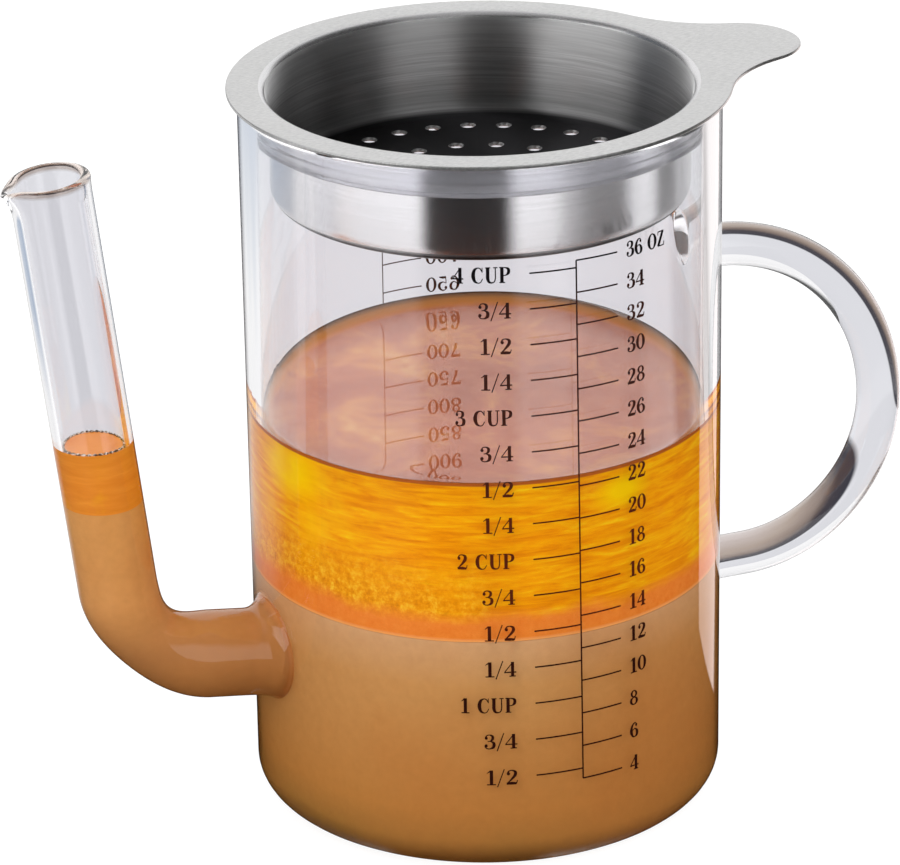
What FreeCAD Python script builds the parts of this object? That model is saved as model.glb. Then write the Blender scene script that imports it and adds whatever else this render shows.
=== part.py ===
"""Gravy fat separator: a glass jug with a low spout, a glass handle and a drop-in strainer.

All lengths are millimetres. +Z is up and the origin is the middle of the jug's underside.
The spout points along -X, the handle and the strainer's thumb tab along +X.
"""
import FreeCAD, Part
import Sketcher
import math
import os
import re

# Driving dimensions: alias, value, what it is.
SIZES = [
    ("jug_diameter", 102.5, "outside of the glass cylinder"),
    ("jug_wall", 2.4, "glass thickness of the cylinder"),
    ("jug_tall", 159.5, "underside to the top of the glass rim"),
    ("base_corner", 6.0, "outside radius between wall and base"),
    ("inner_corner", 5.0, "inside radius between wall and floor"),
    ("floor_level", 6.0, "inside floor above the underside"),
    ("recess_depth", 1.5, "hollow pressed into the underside"),
    ("ring_width", 8.25, "flat ring that the jug stands on, round that hollow"),
    ("recess_slope", 3.0, "radial run of the hollow's sloping side"),
    ("root_level", 38.0, "middle of the spout where it leaves the jug"),
    ("spout_rise", 8.0, "degrees that the foot of the spout climbs"),
    ("spout_lean", 6.6, "degrees that the upright leans outward"),
    ("spout_stand", 31.35, "outside of the jug to the crossing of foot and upright"),
    ("spout_bend", 23.0, "radius of the bend, on the tube's axis"),
    ("mouth_level", 153.9, "middle of the spout's mouth"),
    ("foot_diameter", 19.0, "outside of the spout's foot"),
    ("pinch_diameter", 15.4, "outside of the tube halfway round the bend"),
    ("upright_diameter", 17.0, "outside of the spout's upright"),
    ("spout_wall", 1.8, "glass thickness of the spout"),
    ("spout_weld", 25.0, "outside of the flared weld at the jug"),
    ("spout_weld_reach", 6.0, "how far the weld's flare runs out along the foot"),
    ("beak_radius", 2.3, "radius of the pouring beak on the mouth"),
    ("beak_groove", 1.0, "radius of the groove that the beak pours through"),
    ("rod_diameter", 9.6, "glass rod of the handle"),
    ("handle_top", 115.6, "upper root of the handle"),
    ("handle_bottom", 40.4, "lower root of the handle"),
    ("handle_stand", 44.05, "outside of the jug to the rod's axis at its furthest"),
    ("handle_upper_bend", 42.4, "radius of the upper half of the handle"),
    ("handle_weld", 12.4, "outside of the flared weld of each root"),
    ("weld_foot", 0.2, "thickness of the weld's edge where it meets the jug"),
    ("weld_flare", 1.4, "how far the weld's flare runs on from there along the rod"),
    ("sheet", 0.8, "steel thickness of the strainer"),
    ("flange_overhang", 2.25, "how far the strainer's flange reaches past the jug's outside"),
    ("bowl_gap", 3.05, "radial gap between the jug's bore and the strainer's bowl, which the seal fills"),
    ("bowl_depth", 24.2, "flange top to the bowl's underside"),
    ("flange_bend", 2.4, "radius from flange top into the bowl"),
    ("bowl_corner", 4.0, "outside radius between bowl wall and floor"),
    ("tab_length", 20.0, "flange's edge to the tip of the thumb tab"),
    ("tab_end", 13.0, "radius of the tab's rounded end"),
    ("tab_flank", 30.0, "radius of the tab's hollow flanks"),
    ("tab_overlap", 3.0, "how far the tab's blank runs into the flange"),
    ("hole_diameter", 2.6, "each strainer hole"),
    ("hole_margin", 4.3, "outer ring of holes to the edge of the bowl's flat floor"),
    ("first_ring", 9, "holes in the inner ring"),
    ("second_ring", 18, "holes in the middle ring"),
    ("third_ring", 30, "holes in the outer ring"),
    ("lip_thickness", 0.9, "seal lip between rim and flange"),
    ("lip_inset", 0.45, "how far the seal lip stays inside the jug's outside"),
    ("seat_gap", 0.1, "running gap between glass rim and seal lip"),
    ("turning_gap", 0.06, "radial gap between bowl and seal"),
    ("rib_gap", 0.25, "radial gap between seal ribs and glass"),
    ("plug_depth", 7.0, "how far the seal reaches into the jug"),
    ("rib_height", 0.5, "how far each rib stands out of the seal"),
    ("rib_pitch", 2.1, "from one rib to the next"),
    ("rib_count", 3, "ribs round the seal"),
]

# Values worked out from the driving ones: alias, formula in the sheet's own cells.
DERIVED = [
    ("jug_radius", "jug_diameter / 2"),
    ("bore_radius", "jug_radius - jug_wall"),
    ("rim_round", "jug_wall / 2"),
    ("recess_radius", "jug_radius - base_corner - ring_width"),
    ("foot_tilt", "90 - spout_rise"),
    ("spout_turn", "foot_tilt - spout_lean"),
    ("spout_corner", "jug_radius + spout_stand"),
    ("corner_level", "root_level + spout_stand * tan(spout_rise)"),
    ("bend_run", "spout_bend * tan(spout_turn / 2)"),
    ("bend_start_x", "-spout_corner + bend_run * sin(foot_tilt)"),
    ("bend_start_z", "corner_level - bend_run * cos(foot_tilt)"),
    ("bend_mid_x", "bend_start_x + spout_bend * cos(foot_tilt)"),
    ("bend_mid_z", "bend_start_z + spout_bend * sin(foot_tilt)"),
    ("pinch_dip", "(foot_diameter + upright_diameter) / 2 - pinch_diameter"),
    ("upright_x", "-spout_corner - bend_run * sin(spout_lean)"),
    ("upright_z", "corner_level + bend_run * cos(spout_lean)"),
    ("upright_length", "(mouth_level - upright_z) / cos(spout_lean)"),
    ("mouth_x", "upright_x - upright_length * sin(spout_lean)"),
    ("handle_lower_bend", "handle_top - handle_bottom - handle_upper_bend"),
    ("upper_bend_x", "jug_radius + handle_stand - handle_upper_bend"),
    ("lower_bend_x", "jug_radius + handle_stand - handle_lower_bend"),
    ("bends_meet_z", "handle_top - handle_upper_bend"),
    ("weld_rise", "(handle_weld - rod_diameter) / 2"),
    ("weld_round", "(weld_flare^2 + weld_rise^2) / (2 * weld_rise)"),
    ("bowl_radius", "bore_radius - bowl_gap"),
    ("flange_radius", "jug_radius + flange_overhang"),
    ("flange_under", "jug_tall + seat_gap + lip_thickness"),
    ("flange_top", "flange_under + sheet"),
    ("bowl_bottom", "flange_top - bowl_depth"),
    ("hole_pitch", "(bowl_radius - bowl_corner - hole_margin) / 3"),
    ("tab_reach", "flange_radius + tab_length"),
    ("tab_middle", "tab_reach - tab_end"),
    ("root_span", "flange_radius + tab_flank"),
    ("neck_span", "tab_end + tab_flank"),
    ("flank_x", "(root_span^2 - neck_span^2 + tab_middle^2) / (2 * tab_middle)"),
    ("flank_y", "sqrt(root_span^2 - flank_x^2)"),
    ("tab_root_x", "flank_x * flange_radius / root_span"),
    ("tab_root_y", "flank_y * flange_radius / root_span"),
    ("tab_neck_x", "tab_middle + (flank_x - tab_middle) * tab_end / neck_span"),
    ("tab_neck_y", "flank_y * tab_end / neck_span"),
    ("blank_share", "(flange_radius - tab_overlap) / flange_radius"),
    ("lip_radius", "jug_radius - lip_inset"),
    ("seal_bore", "bowl_radius + turning_gap"),
    ("seal_round", "flange_bend - sheet"),
    ("rib_radius", "bore_radius - rib_gap"),
    ("plug_radius", "rib_radius - rib_height"),
    ("plug_top", "jug_tall + seat_gap"),
]

ALIASES = {alias for alias, _, _ in SIZES} | {alias for alias, _ in DERIVED}
UP = FreeCAD.Vector(0, 0, 1)
MINUS_Y = FreeCAD.Vector(0, -1, 0)
OVERRUN = 5.0  # how far a solid runs on past the surface that cuts it, or that it cuts
WELD_STATIONS = 5  # steps along the spout's flared weld
BEND_STATIONS = 12  # steps round the spout's bend

doc = FreeCAD.newDocument("GravySeparator")
sheet = doc.addObject("Spreadsheet::Sheet", "Sizes")


def fill_sheet():
    """Write the driving numbers, then the formulas, one alias to a row."""
    row = 0
    for alias, value, note in SIZES:
        row += 1
        sheet.set("A%d" % row, alias)
        sheet.set("B%d" % row, str(value))
        sheet.set("C%d" % row, note)
        sheet.setAlias("B%d" % row, alias)
    doc.recompute()
    for alias, formula in DERIVED:
        row += 1
        sheet.set("A%d" % row, alias)
        sheet.set("B%d" % row, "=" + formula)
        sheet.setAlias("B%d" % row, alias)
        doc.recompute()


def number(expression):
    """The present value of an expression in the sheet's aliases."""
    return float(sheet.evalExpression(expression))


def bound(expression):
    """The same expression as other objects write it, with the sheet's name before each alias."""
    return re.sub("[a-z_]+", lambda word: "Sizes." + word[0] if word[0] in ALIASES else word[0], expression)


def bind(thing, name, expression):
    thing.setExpression(name, bound(expression))


def body_named(name):
    return doc.addObject("PartDesign::Body", name)


def origin_plane(body, role):
    return [feature for feature in body.Origin.OriginFeatures if feature.Role == role][0]


def sketch_on(body, name, role, height=None):
    """A sketch on one of the body's own planes, moved along the plane's normal by height."""
    sketch = body.newObject("Sketcher::SketchObject", name)
    sketch.AttachmentSupport = [(origin_plane(body, role), "")]
    sketch.MapMode = "FlatFace"
    if height is not None:
        bind(sketch, "AttachmentOffset.Base.z", height)
    return sketch


def pin(sketch, geometry, end, across, up):
    """Hold one point of the sketch at (across, up), two expressions in the sheet's aliases."""
    for kind, axis, expression in (("DistanceX", -2, across), ("DistanceY", -1, up)):
        if expression == "0":
            sketch.addConstraint(Sketcher.Constraint("PointOnObject", geometry, end, axis))
            continue
        value = number(expression)
        index = sketch.addConstraint(Sketcher.Constraint(kind, -1, 1, geometry, end, value))
        bind(sketch, "Constraints[%d]" % index, expression)


def add_arc(sketch, start, end, radius, side):
    """Add the shorter arc of that radius, its centre on that side of the way from start to end.

    A sketch draws arcs anticlockwise, so with its centre on the right the arc runs from end to
    start. Returns the arc's index and which of its points, 1 or 2, are start and end.
    """
    chord = end - start
    left = FreeCAD.Vector(-chord.y, chord.x, 0).normalize()
    rise = max(radius ** 2 - chord.Length ** 2 / 4, 0) ** 0.5
    centre = (start + end) * 0.5 + left * (rise if side == "left" else -rise)
    first, last = (start, end) if side == "left" else (end, start)
    from_angle = math.atan2(first.y - centre.y, first.x - centre.x)
    to_angle = math.atan2(last.y - centre.y, last.x - centre.x)
    if to_angle < from_angle:
        to_angle += 2 * math.pi
    arc = Part.ArcOfCircle(Part.Circle(centre, UP, radius), from_angle, to_angle)
    index = sketch.addGeometry(arc, False)
    return (index, 1, 2) if side == "left" else (index, 2, 1)


def outline(sketch, corners):
    """Draw a closed outline and hold each corner with the sheet.

    corners: (across, up) for a corner that a straight side leaves, or
    (across, up, radius, "left" or "right") for one that an arc leaves, its
    centre on that side of the way round. Every entry is an expression.
    """
    points = [FreeCAD.Vector(number(corner[0]), number(corner[1]), 0) for corner in corners]
    count = len(corners)
    ends = []
    for i, corner in enumerate(corners):
        start = points[i]
        end = points[(i + 1) % count]
        if len(corner) == 2:
            ends.append((sketch.addGeometry(Part.LineSegment(start, end), False), 1, 2))
        else:
            ends.append(add_arc(sketch, start, end, number(corner[2]), corner[3]))
    for i in range(count):
        this, _, last = ends[i]
        following, first, _ = ends[(i + 1) % count]
        sketch.addConstraint(Sketcher.Constraint("Coincident", this, last, following, first))
    for i, corner in enumerate(corners):
        pin(sketch, ends[i][0], ends[i][1], corner[0], corner[1])
    for i, corner in enumerate(corners):
        if len(corner) == 4:
            index = sketch.addConstraint(Sketcher.Constraint("Radius", ends[i][0], number(corner[2])))
            bind(sketch, "Constraints[%d]" % index, corner[2])


def turned(body, name, corners, axis_level=None):
    """A solid of revolution: about Z, or about a line along X at axis_level."""
    sketch = sketch_on(body, name + "Sketch", "XZ_Plane")
    outline(sketch, corners)
    axis = "V_Axis"
    if axis_level is not None:
        level = number(axis_level)
        start = FreeCAD.Vector(0, level, 0)
        line = sketch.addGeometry(Part.LineSegment(start, start + FreeCAD.Vector(OVERRUN, 0, 0)), True)
        pin(sketch, line, 1, "0", axis_level)
        sketch.addConstraint(Sketcher.Constraint("Horizontal", line))
        sketch.addConstraint(Sketcher.Constraint("DistanceX", line, 1, line, 2, OVERRUN))
        axis = "Axis0"
    feature = body.newObject("PartDesign::Revolution", name)
    feature.Profile = sketch
    feature.ReferenceAxis = (sketch, [axis])
    feature.Angle = 360
    return feature


def circle_in(sketch, across, up, radius):
    centre = FreeCAD.Vector(number(across), number(up), 0)
    index = sketch.addGeometry(Part.Circle(centre, UP, number(radius)), False)
    pin(sketch, index, 3, across, up)
    constraint = sketch.addConstraint(Sketcher.Constraint("Radius", index, number(radius)))
    bind(sketch, "Constraints[%d]" % constraint, radius)


def place(thing, across, up, tilt):
    """Stand a primitive at (across, up) in the XZ plane, its Z tipped by tilt degrees towards -X."""
    thing.Placement = FreeCAD.Placement(FreeCAD.Vector(0, 0, 0), FreeCAD.Rotation(MINUS_Y, number(tilt)))
    bind(thing, "Placement.Base.x", across)
    bind(thing, "Placement.Base.z", up)
    bind(thing, "Placement.Rotation.Angle", tilt)


def cylinder(name, radius, length, across="0", up="0", tilt=None):
    thing = doc.addObject("Part::Cylinder", name)
    bind(thing, "Radius", radius)
    bind(thing, "Height", length)
    if tilt is not None:
        place(thing, across, up, tilt)
    return thing


def cut(name, base, tool):
    thing = doc.addObject("Part::Cut", name)
    thing.Base = base
    thing.Tool = tool
    return thing


def fuse(name, things):
    thing = doc.addObject("Part::MultiFuse", name)
    thing.Shapes = things
    return thing


def glass_jug():
    """Straight glass cylinder, rounded rim and base corner, with the hole for the spout."""
    body = body_named("JugBlank")
    turned(body, "JugTurned", [
        ("0", "recess_depth"),
        ("recess_radius - recess_slope", "recess_depth"),
        ("recess_radius", "0"),
        ("jug_radius - base_corner", "0", "base_corner", "left"),
        ("jug_radius", "base_corner"),
        ("jug_radius", "jug_tall - rim_round", "rim_round", "left"),
        ("jug_radius - rim_round", "jug_tall", "rim_round", "left"),
        ("bore_radius", "jug_tall - rim_round"),
        ("bore_radius", "floor_level + inner_corner", "inner_corner", "right"),
        ("bore_radius - inner_corner", "floor_level"),
        ("0", "floor_level"),
    ])
    inward = "(jug_wall + %g)" % OVERRUN
    hole = cylinder(
        "SpoutHole", "foot_diameter / 2 - spout_wall", "jug_wall + %g" % (2 * OVERRUN),
        "-jug_radius + %s * cos(spout_rise)" % inward,
        "root_level - %s * sin(spout_rise)" % inward, "foot_tilt")
    return cut("glass_jug", body, hole)


def spout_stations():
    """Sections of the foot and the bend: (across, up, tilt, outside diameter)."""
    foot = [("-%g" % OVERRUN, "spout_weld")]
    for i in range(WELD_STATIONS + 1):
        share = i / WELD_STATIONS
        flare = "(spout_weld - foot_diameter) * %g" % (1 - share) ** 3
        foot.append(("spout_weld_reach * %g" % share, "foot_diameter + " + flare))
    stations = []
    for out, diameter in foot:
        across = "-jug_radius - %s * cos(spout_rise)" % out
        up = "root_level + %s * sin(spout_rise)" % out
        stations.append((across, up, "foot_tilt", diameter))
    for i in range(BEND_STATIONS + 1):
        share = i / BEND_STATIONS
        pinch = round(math.sin(math.pi * share) ** 2, 6)
        tilt = "(foot_tilt - spout_turn * %g)" % share
        across = "bend_mid_x - spout_bend * cos(%s)" % tilt
        up = "bend_mid_z - spout_bend * sin(%s)" % tilt
        diameter = "foot_diameter * %g + upright_diameter * %g - pinch_dip * %g" % (1 - share, share, pinch)
        stations.append((across, up, tilt, diameter))
    return stations


def spout_skin(name, inset):
    """Solid round the foot and the bend, inset from their outside: the glass, or its bore."""
    circles = []
    for i, (across, up, tilt, diameter) in enumerate(spout_stations()):
        circle = doc.addObject("Part::Circle", "%sStation%d" % (name, i))
        bind(circle, "Radius", "(%s) / 2 - %s" % (diameter, inset))
        place(circle, across, up, tilt)
        circles.append(circle)
    loft = doc.addObject("Part::Loft", name + "Bend")
    loft.Sections = circles
    loft.Solid = True
    loft.Ruled = True
    return loft


def glass_spout():
    """Bent glass tube, flared where it is welded to the jug, with a small beak at its mouth."""
    outside = spout_skin("SpoutOutside", "0")
    upright = cylinder(
        "SpoutUpright", "upright_diameter / 2", "upright_length", "upright_x", "upright_z", "spout_lean")
    beak = doc.addObject("Part::Sphere", "SpoutBeak")
    bind(beak, "Radius", "beak_radius")
    place(
        beak,
        "mouth_x - upright_diameter / 2 * cos(spout_lean) + beak_radius * sin(spout_lean)",
        "mouth_level - upright_diameter / 2 * sin(spout_lean) - beak_radius * cos(spout_lean)",
        "spout_lean")
    solid = fuse("SpoutSolid", [outside, upright, beak])

    bore = spout_skin("SpoutBore", "spout_wall")
    drilling = cylinder(
        "UprightBore", "upright_diameter / 2 - spout_wall", "upright_length + %g" % OVERRUN,
        "upright_x", "upright_z", "spout_lean")
    groove = cylinder(
        "BeakGroove", "beak_groove", "upright_diameter",
        "mouth_x", "mouth_level", "spout_lean + 90")
    inside = cylinder("JugSpaceForSpout", "jug_radius", "jug_tall")
    hollow = fuse("SpoutHollow", [bore, drilling, groove, inside])
    return cut("glass_spout", solid, hollow)


def quarter_bend(name, radius, across, up, start):
    """A quarter ring of rod in the XZ plane round (across, up), from start degrees on, 0 along +X."""
    bend = doc.addObject("Part::Torus", name)
    bind(bend, "Radius1", radius)
    bind(bend, "Radius2", "rod_diameter / 2")
    bend.Angle3 = 90
    upright = FreeCAD.Rotation(FreeCAD.Vector(1, 0, 0), 90)
    bend.Placement.Rotation = upright * FreeCAD.Rotation(UP, start)
    bind(bend, "Placement.Base.x", across)
    bind(bend, "Placement.Base.z", up)
    return bend


def handle_root(name, level, bend_x, jug):
    """The straight end of the rod at that level, from its flared weld on the jug to its bend."""
    body = body_named(name + "Blank")
    buried = "jug_radius - %g" % OVERRUN
    turned(body, name + "Turned", [
        (buried, level),
        (bend_x, level),
        (bend_x, level + " + rod_diameter / 2"),
        ("jug_radius + weld_foot + weld_flare", level + " + rod_diameter / 2", "weld_round", "right"),
        ("jug_radius + weld_foot", level + " + handle_weld / 2"),
        (buried, level + " + handle_weld / 2"),
    ], level)
    return cut(name, body, jug)


def glass_handle():
    """Solid glass rod bent to a D, with a flared weld at each root."""
    jug = cylinder("JugSpaceForHandle", "jug_radius", "jug_tall")
    # The cylinder's seam is turned away from the roots, because a cut across it fails.
    jug.Placement.Rotation = FreeCAD.Rotation(UP, 90)
    return fuse("glass_handle", [
        handle_root("UpperRoot", "handle_top", "upper_bend_x", jug),
        quarter_bend("UpperBend", "handle_upper_bend", "upper_bend_x", "bends_meet_z", 0),
        quarter_bend("LowerBend", "handle_lower_bend", "lower_bend_x", "bends_meet_z", -90),
        handle_root("LowerRoot", "handle_bottom", "lower_bend_x", jug),
    ])


def steel_strainer():
    """Pressed steel bowl with a flat flange, a thumb tab and a perforated floor."""
    body = body_named("steel_strainer")
    turned(body, "StrainerBowl", [
        ("0", "bowl_bottom"),
        ("bowl_radius - bowl_corner", "bowl_bottom", "bowl_corner", "left"),
        ("bowl_radius", "bowl_bottom + bowl_corner"),
        ("bowl_radius", "flange_top - flange_bend", "flange_bend - sheet", "right"),
        ("bowl_radius + flange_bend - sheet", "flange_under"),
        ("flange_radius", "flange_under"),
        ("flange_radius", "flange_top"),
        ("bowl_radius - sheet + flange_bend", "flange_top", "flange_bend", "left"),
        ("bowl_radius - sheet", "flange_top - flange_bend"),
        ("bowl_radius - sheet", "bowl_bottom + bowl_corner", "bowl_corner - sheet", "right"),
        ("bowl_radius - bowl_corner", "bowl_bottom + sheet"),
        ("0", "bowl_bottom + sheet"),
    ])
    doc.recompute()

    blank = sketch_on(body, "TabBlank", "XY_Plane", "flange_under")
    outline(blank, [
        ("tab_root_x * blank_share", "-tab_root_y * blank_share"),
        ("tab_root_x", "-tab_root_y", "tab_flank", "right"),
        ("tab_neck_x", "-tab_neck_y", "tab_end", "left"),
        ("tab_reach", "0", "tab_end", "left"),
        ("tab_neck_x", "tab_neck_y", "tab_flank", "right"),
        ("tab_root_x", "tab_root_y"),
        ("tab_root_x * blank_share", "tab_root_y * blank_share", "flange_radius - tab_overlap", "right"),
    ])
    tab = body.newObject("PartDesign::Pad", "ThumbTab")
    tab.Profile = blank
    bind(tab, "Length", "sheet")
    doc.recompute()

    drill(body, "CentreHole", "0", None)
    drill(body, "FirstRing", "hole_pitch", "first_ring")
    drill(body, "SecondRing", "hole_pitch * 2", "second_ring")
    drill(body, "ThirdRing", "hole_pitch * 3", "third_ring")
    return body


def drill(body, name, radius, count):
    """A hole through the bowl's floor at that radius, repeated count times round the axis."""
    sketch = sketch_on(body, name + "Sketch", "XY_Plane", "bowl_bottom + sheet + %g" % OVERRUN)
    circle_in(sketch, radius, "0", "hole_diameter / 2")
    pocket = body.newObject("PartDesign::Pocket", name)
    pocket.Profile = sketch
    pocket.Type = 0
    bind(pocket, "Length", "sheet + %g" % (2 * OVERRUN))
    doc.recompute()
    if count is None:
        return
    # The pattern turns about the sketch's own origin, which lies on the jug's axis.
    ring = body.newObject("PartDesign::PolarPattern", name + "Pattern")
    ring.Originals = [pocket]
    ring.Axis = (sketch, ["N_Axis"])
    ring.Angle = 360
    bind(ring, "Occurrences", count)
    body.Tip = ring
    doc.recompute()


def silicone_seal():
    """Translucent ring that plugs the jug's mouth: a lip under the flange and ribs on the plug."""
    body = body_named("silicone_seal")
    turned(body, "SealRing", [
        ("seal_bore + seal_round", "flange_under", "seal_round", "left"),
        ("seal_bore", "flange_under - seal_round"),
        ("seal_bore", "plug_top - plug_depth"),
        ("plug_radius", "plug_top - plug_depth"),
        ("plug_radius", "plug_top"),
        ("lip_radius", "plug_top"),
        ("lip_radius", "flange_under"),
    ])
    doc.recompute()
    rib_at = "plug_top - rib_pitch"
    rib = turned(body, "SealRib", [
        ("plug_radius - rib_height", rib_at + " - rib_height"),
        ("plug_radius", rib_at + " - rib_height", "rib_height", "left"),
        ("plug_radius + rib_height", rib_at, "rib_height", "left"),
        ("plug_radius", rib_at + " + rib_height"),
        ("plug_radius - rib_height", rib_at + " + rib_height"),
    ])
    doc.recompute()
    ribs = body.newObject("PartDesign::LinearPattern", "SealRibs")
    ribs.Originals = [rib]
    ribs.Direction = (origin_plane(body, "Z_Axis"), [""])
    ribs.Reversed = True
    bind(ribs, "Length", "rib_pitch * (rib_count - 1)")
    bind(ribs, "Occurrences", "rib_count")
    body.Tip = ribs
    return body


def check(nodes):
    """Stop before anything is written if an object failed or a solid is not sound."""
    for thing in doc.Objects:
        if "Invalid" in thing.State or "Error" in thing.State:
            raise RuntimeError("%s did not build: %s" % (thing.Name, thing.State))
    for node in nodes:
        if node.Shape.isNull() or not node.Shape.isValid() or not node.Shape.Solids:
            raise RuntimeError("%s has no sound solid" % node.Label)
        box = node.Shape.BoundBox
        print("%-16s %d solid(s) %9.1f mm3  x %.1f..%.1f y %.1f..%.1f z %.1f..%.1f" % (
            node.Label, len(node.Shape.Solids), node.Shape.Volume,
            box.XMin, box.XMax, box.YMin, box.YMax, box.ZMin, box.ZMax))


fill_sheet()
NODES = [glass_jug(), glass_spout(), glass_handle(), silicone_seal(), steel_strainer()]
doc.recompute()
check(NODES)
os.makedirs("parts", exist_ok=True)
for node in NODES:
    node.Shape.exportStep("parts/%s.step" % node.Label)
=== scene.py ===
"""Gravy fat separator: glass jug with a low spout and a rod handle, steel strainer on a silicone seal.

Lengths are millimetres until a mesh is made, where MM turns them into metres. +Z is up, the
spout points along -X, the handle and the thumb tab along +X.
"""
import math

import bmesh
import bpy
import numpy as np
from mathutils import Matrix, Vector


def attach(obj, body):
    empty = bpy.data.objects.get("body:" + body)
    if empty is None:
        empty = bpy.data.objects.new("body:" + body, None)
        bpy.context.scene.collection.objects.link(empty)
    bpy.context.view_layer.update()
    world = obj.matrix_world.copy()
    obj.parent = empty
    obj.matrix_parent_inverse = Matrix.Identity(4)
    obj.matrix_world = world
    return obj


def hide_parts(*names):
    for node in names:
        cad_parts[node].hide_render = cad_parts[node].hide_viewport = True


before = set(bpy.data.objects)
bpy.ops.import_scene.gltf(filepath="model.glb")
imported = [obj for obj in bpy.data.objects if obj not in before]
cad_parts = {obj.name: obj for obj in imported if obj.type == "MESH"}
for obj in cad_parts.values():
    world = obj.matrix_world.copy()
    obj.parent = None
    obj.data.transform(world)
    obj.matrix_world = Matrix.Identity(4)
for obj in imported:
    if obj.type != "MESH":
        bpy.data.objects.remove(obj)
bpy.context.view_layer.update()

MM = 0.001
TURN = 2 * math.pi

# Glass jug
JUG_RADIUS = 51.25
BORE_RADIUS = 48.85
JUG_TALL = 159.5
FLOOR_LEVEL = 6.0
INNER_CORNER = 5.0
LIP_ROUND = 1.19
HOLLOW = 1.5  # depth of the hollow in the underside
HOLLOW_RADIUS = 34.0
HOLLOW_ROUND = 3.0
BASE_RADIUS = 37.0  # the ring it stands on starts here
BASE_CORNER = 6.0
TRAPPED_DEPTH = 5.5  # light that has met more surfaces than this is let out of the glass

# Spout: its axis lies in the XZ plane. A tilt is measured from upright towards -X.
SPOUT_ROOT = 38.0
FOOT_TILT = math.radians(82)
LEAN = math.radians(6.6)
BEND_RADIUS = 23.0
BEND_MIDDLE = (-61.796, 62.708)
MOUTH_LEVEL = 153.9
FOOT_ACROSS = 19.0
PINCH_DIP = 2.6
UPRIGHT_ACROSS = 17.0
SPOUT_WALL = 1.8
WELD_FLARE = 2.5
WELD_LEAN = 1.6  # the weld flares this much more on top and less below
WELD_REACH = 6.0
WELD_BURY = 0.35  # how far the weld starts inside the jug's side

BEAK_PULL = 2.1
BEAK_PULL_FADE = 4.0
BEAK_DROP = 1.1
BEAK_DROP_FADE = 2.0
BEAK_SPAN = 0.36  # half width of the beak, in radians round the mouth
BEAK_TALL = 16.0  # below this the tube keeps its shape
RIM_ALONG = 163.86  # the mouth's plane, measured from the origin along the upright's axis
LIP_BEAD = 0.22  # how far the fired lip swells past the tube
LIP_BEAD_FADE = 2.2
FOOT_START = np.array([-JUG_RADIUS, 0, SPOUT_ROOT])
FOOT_AXIS = np.array([-math.sin(FOOT_TILT), 0, math.cos(FOOT_TILT)])
FOOT_SIDE = np.array([math.cos(FOOT_TILT), 0, math.sin(FOOT_TILT)])
UPRIGHT_AXIS = np.array([-math.sin(LEAN), 0, math.cos(LEAN)])

# Handle
ROD_RADIUS = 4.8
HANDLE_TOP = 115.6
HANDLE_BOTTOM = 40.4
UPPER_BEND = (52.9, 42.4)  # x of its middle, radius
LOWER_BEND = (62.5, 32.8)
BENDS_MEET = 73.2  # the level where one bend passes into the other
HANDLE_WELD = 1.4  # how far its welds flare
HANDLE_FLARE = 1.6  # and how far out from the jug
HANDLE_BURY = 0.3

# Strainer and seal
BOWL_RADIUS = 45.8
SHEET = 0.8
FLANGE_RADIUS = 53.5
FLANGE_TOP = 161.3
BOWL_BOTTOM = 137.1
BOWL_CORNER = 4.0
FLANGE_BEND = 2.4
FLANGE_EDGE = 0.22
TAB_MIDDLE = 60.5
TAB_END = 13.0
TAB_FLANK = 30.0
HOLE_RADIUS = 1.3
PAINTED_LIGHT_LEVEL = 151.0  # painted shade darkens the bowl's inside below this and painted light lightens it above
HOLE_RINGS = ((0.0, 1), (12.5, 9), (25.0, 18), (37.5, 30))  # (radius, holes)
# A hole's section: (height over the floor's underside, width as a share of the hole's).
HOLE_SECTION = ((-2.0, 1.2), (-0.05, 1.2), (0.2, 1.0), (0.4, 1.05), (0.82, 1.36), (3.0, 1.36))
SEAL_BORE = BOWL_RADIUS + 0.06
SEAL_PLUG = 48.1
SEAL_LIP = 50.8
SEAL_DEPTH = 7.0
SEAL_REST = JUG_TALL + 0.1  # its lip lies on the glass at this level
RIB_STEP = 2.1
RIB = 0.5

# Contents
GRAVY_LEVEL = 53.9
FAT_LEVEL = 87.3
FAT_CLIMB = 3.1  # how far the fat is drawn up the glass
FAT_CLIMB_RUN = 1.9  # and how quickly that falls off towards the middle
FAT_CLIMB_SPAN = 12.0
FILM = 0.22  # thickness of the fat's surface
SKIN_DEPTH = 0.25  # depth of the fat's surface, where the body of the fat starts
FAT_BRIM = 0.95  # how far down the brown brim of the drawn-up fat reaches
SPOUT_GRAVY_LEVEL = 79.8
SPOUT_FAT_LEVEL = 93.6
GRAVY_FOOT = 2.2  # the brown shows down to here through the thick floor
BUBBLES = 36
BUBBLE = 0.32
GLASS_BITE = 0.2  # how far the contents run into the glass, so that no air shows between them


# ---- surfaces

def grid_faces(count, ring, loop):
    """Quads between (i, j), (i, j + 1), (i + 1, j + 1) and (i + 1, j), as numbers of points."""
    i, j = np.meshgrid(np.arange(count if loop else count - 1), np.arange(ring), indexing="ij")
    here, after = i * ring, (i + 1) % count * ring
    beside = (j + 1) % ring
    return np.stack([here + j, here + beside, after + beside, after + j], -1).reshape(-1, 4)


def surface(name, rows, loop=False, caps=False):
    """Mesh through rows of points: point (i, j) joins (i + 1, j) and (i, j + 1), and j closes.

    loop joins the last row to the first, caps close the first and last rows with one face each.
    Rows drawn together into one point become a pole.
    """
    rows = np.asarray(rows, float) * MM
    count, ring, _ = rows.shape
    faces = grid_faces(count, ring, loop).tolist()
    if caps:
        faces.append(list(range(ring))[::-1])
        faces.append(list(range((count - 1) * ring, count * ring)))
    mesh = bpy.data.meshes.new(name)
    mesh.from_pydata(rows.reshape(-1, 3).tolist(), [], faces)
    return mesh


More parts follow.
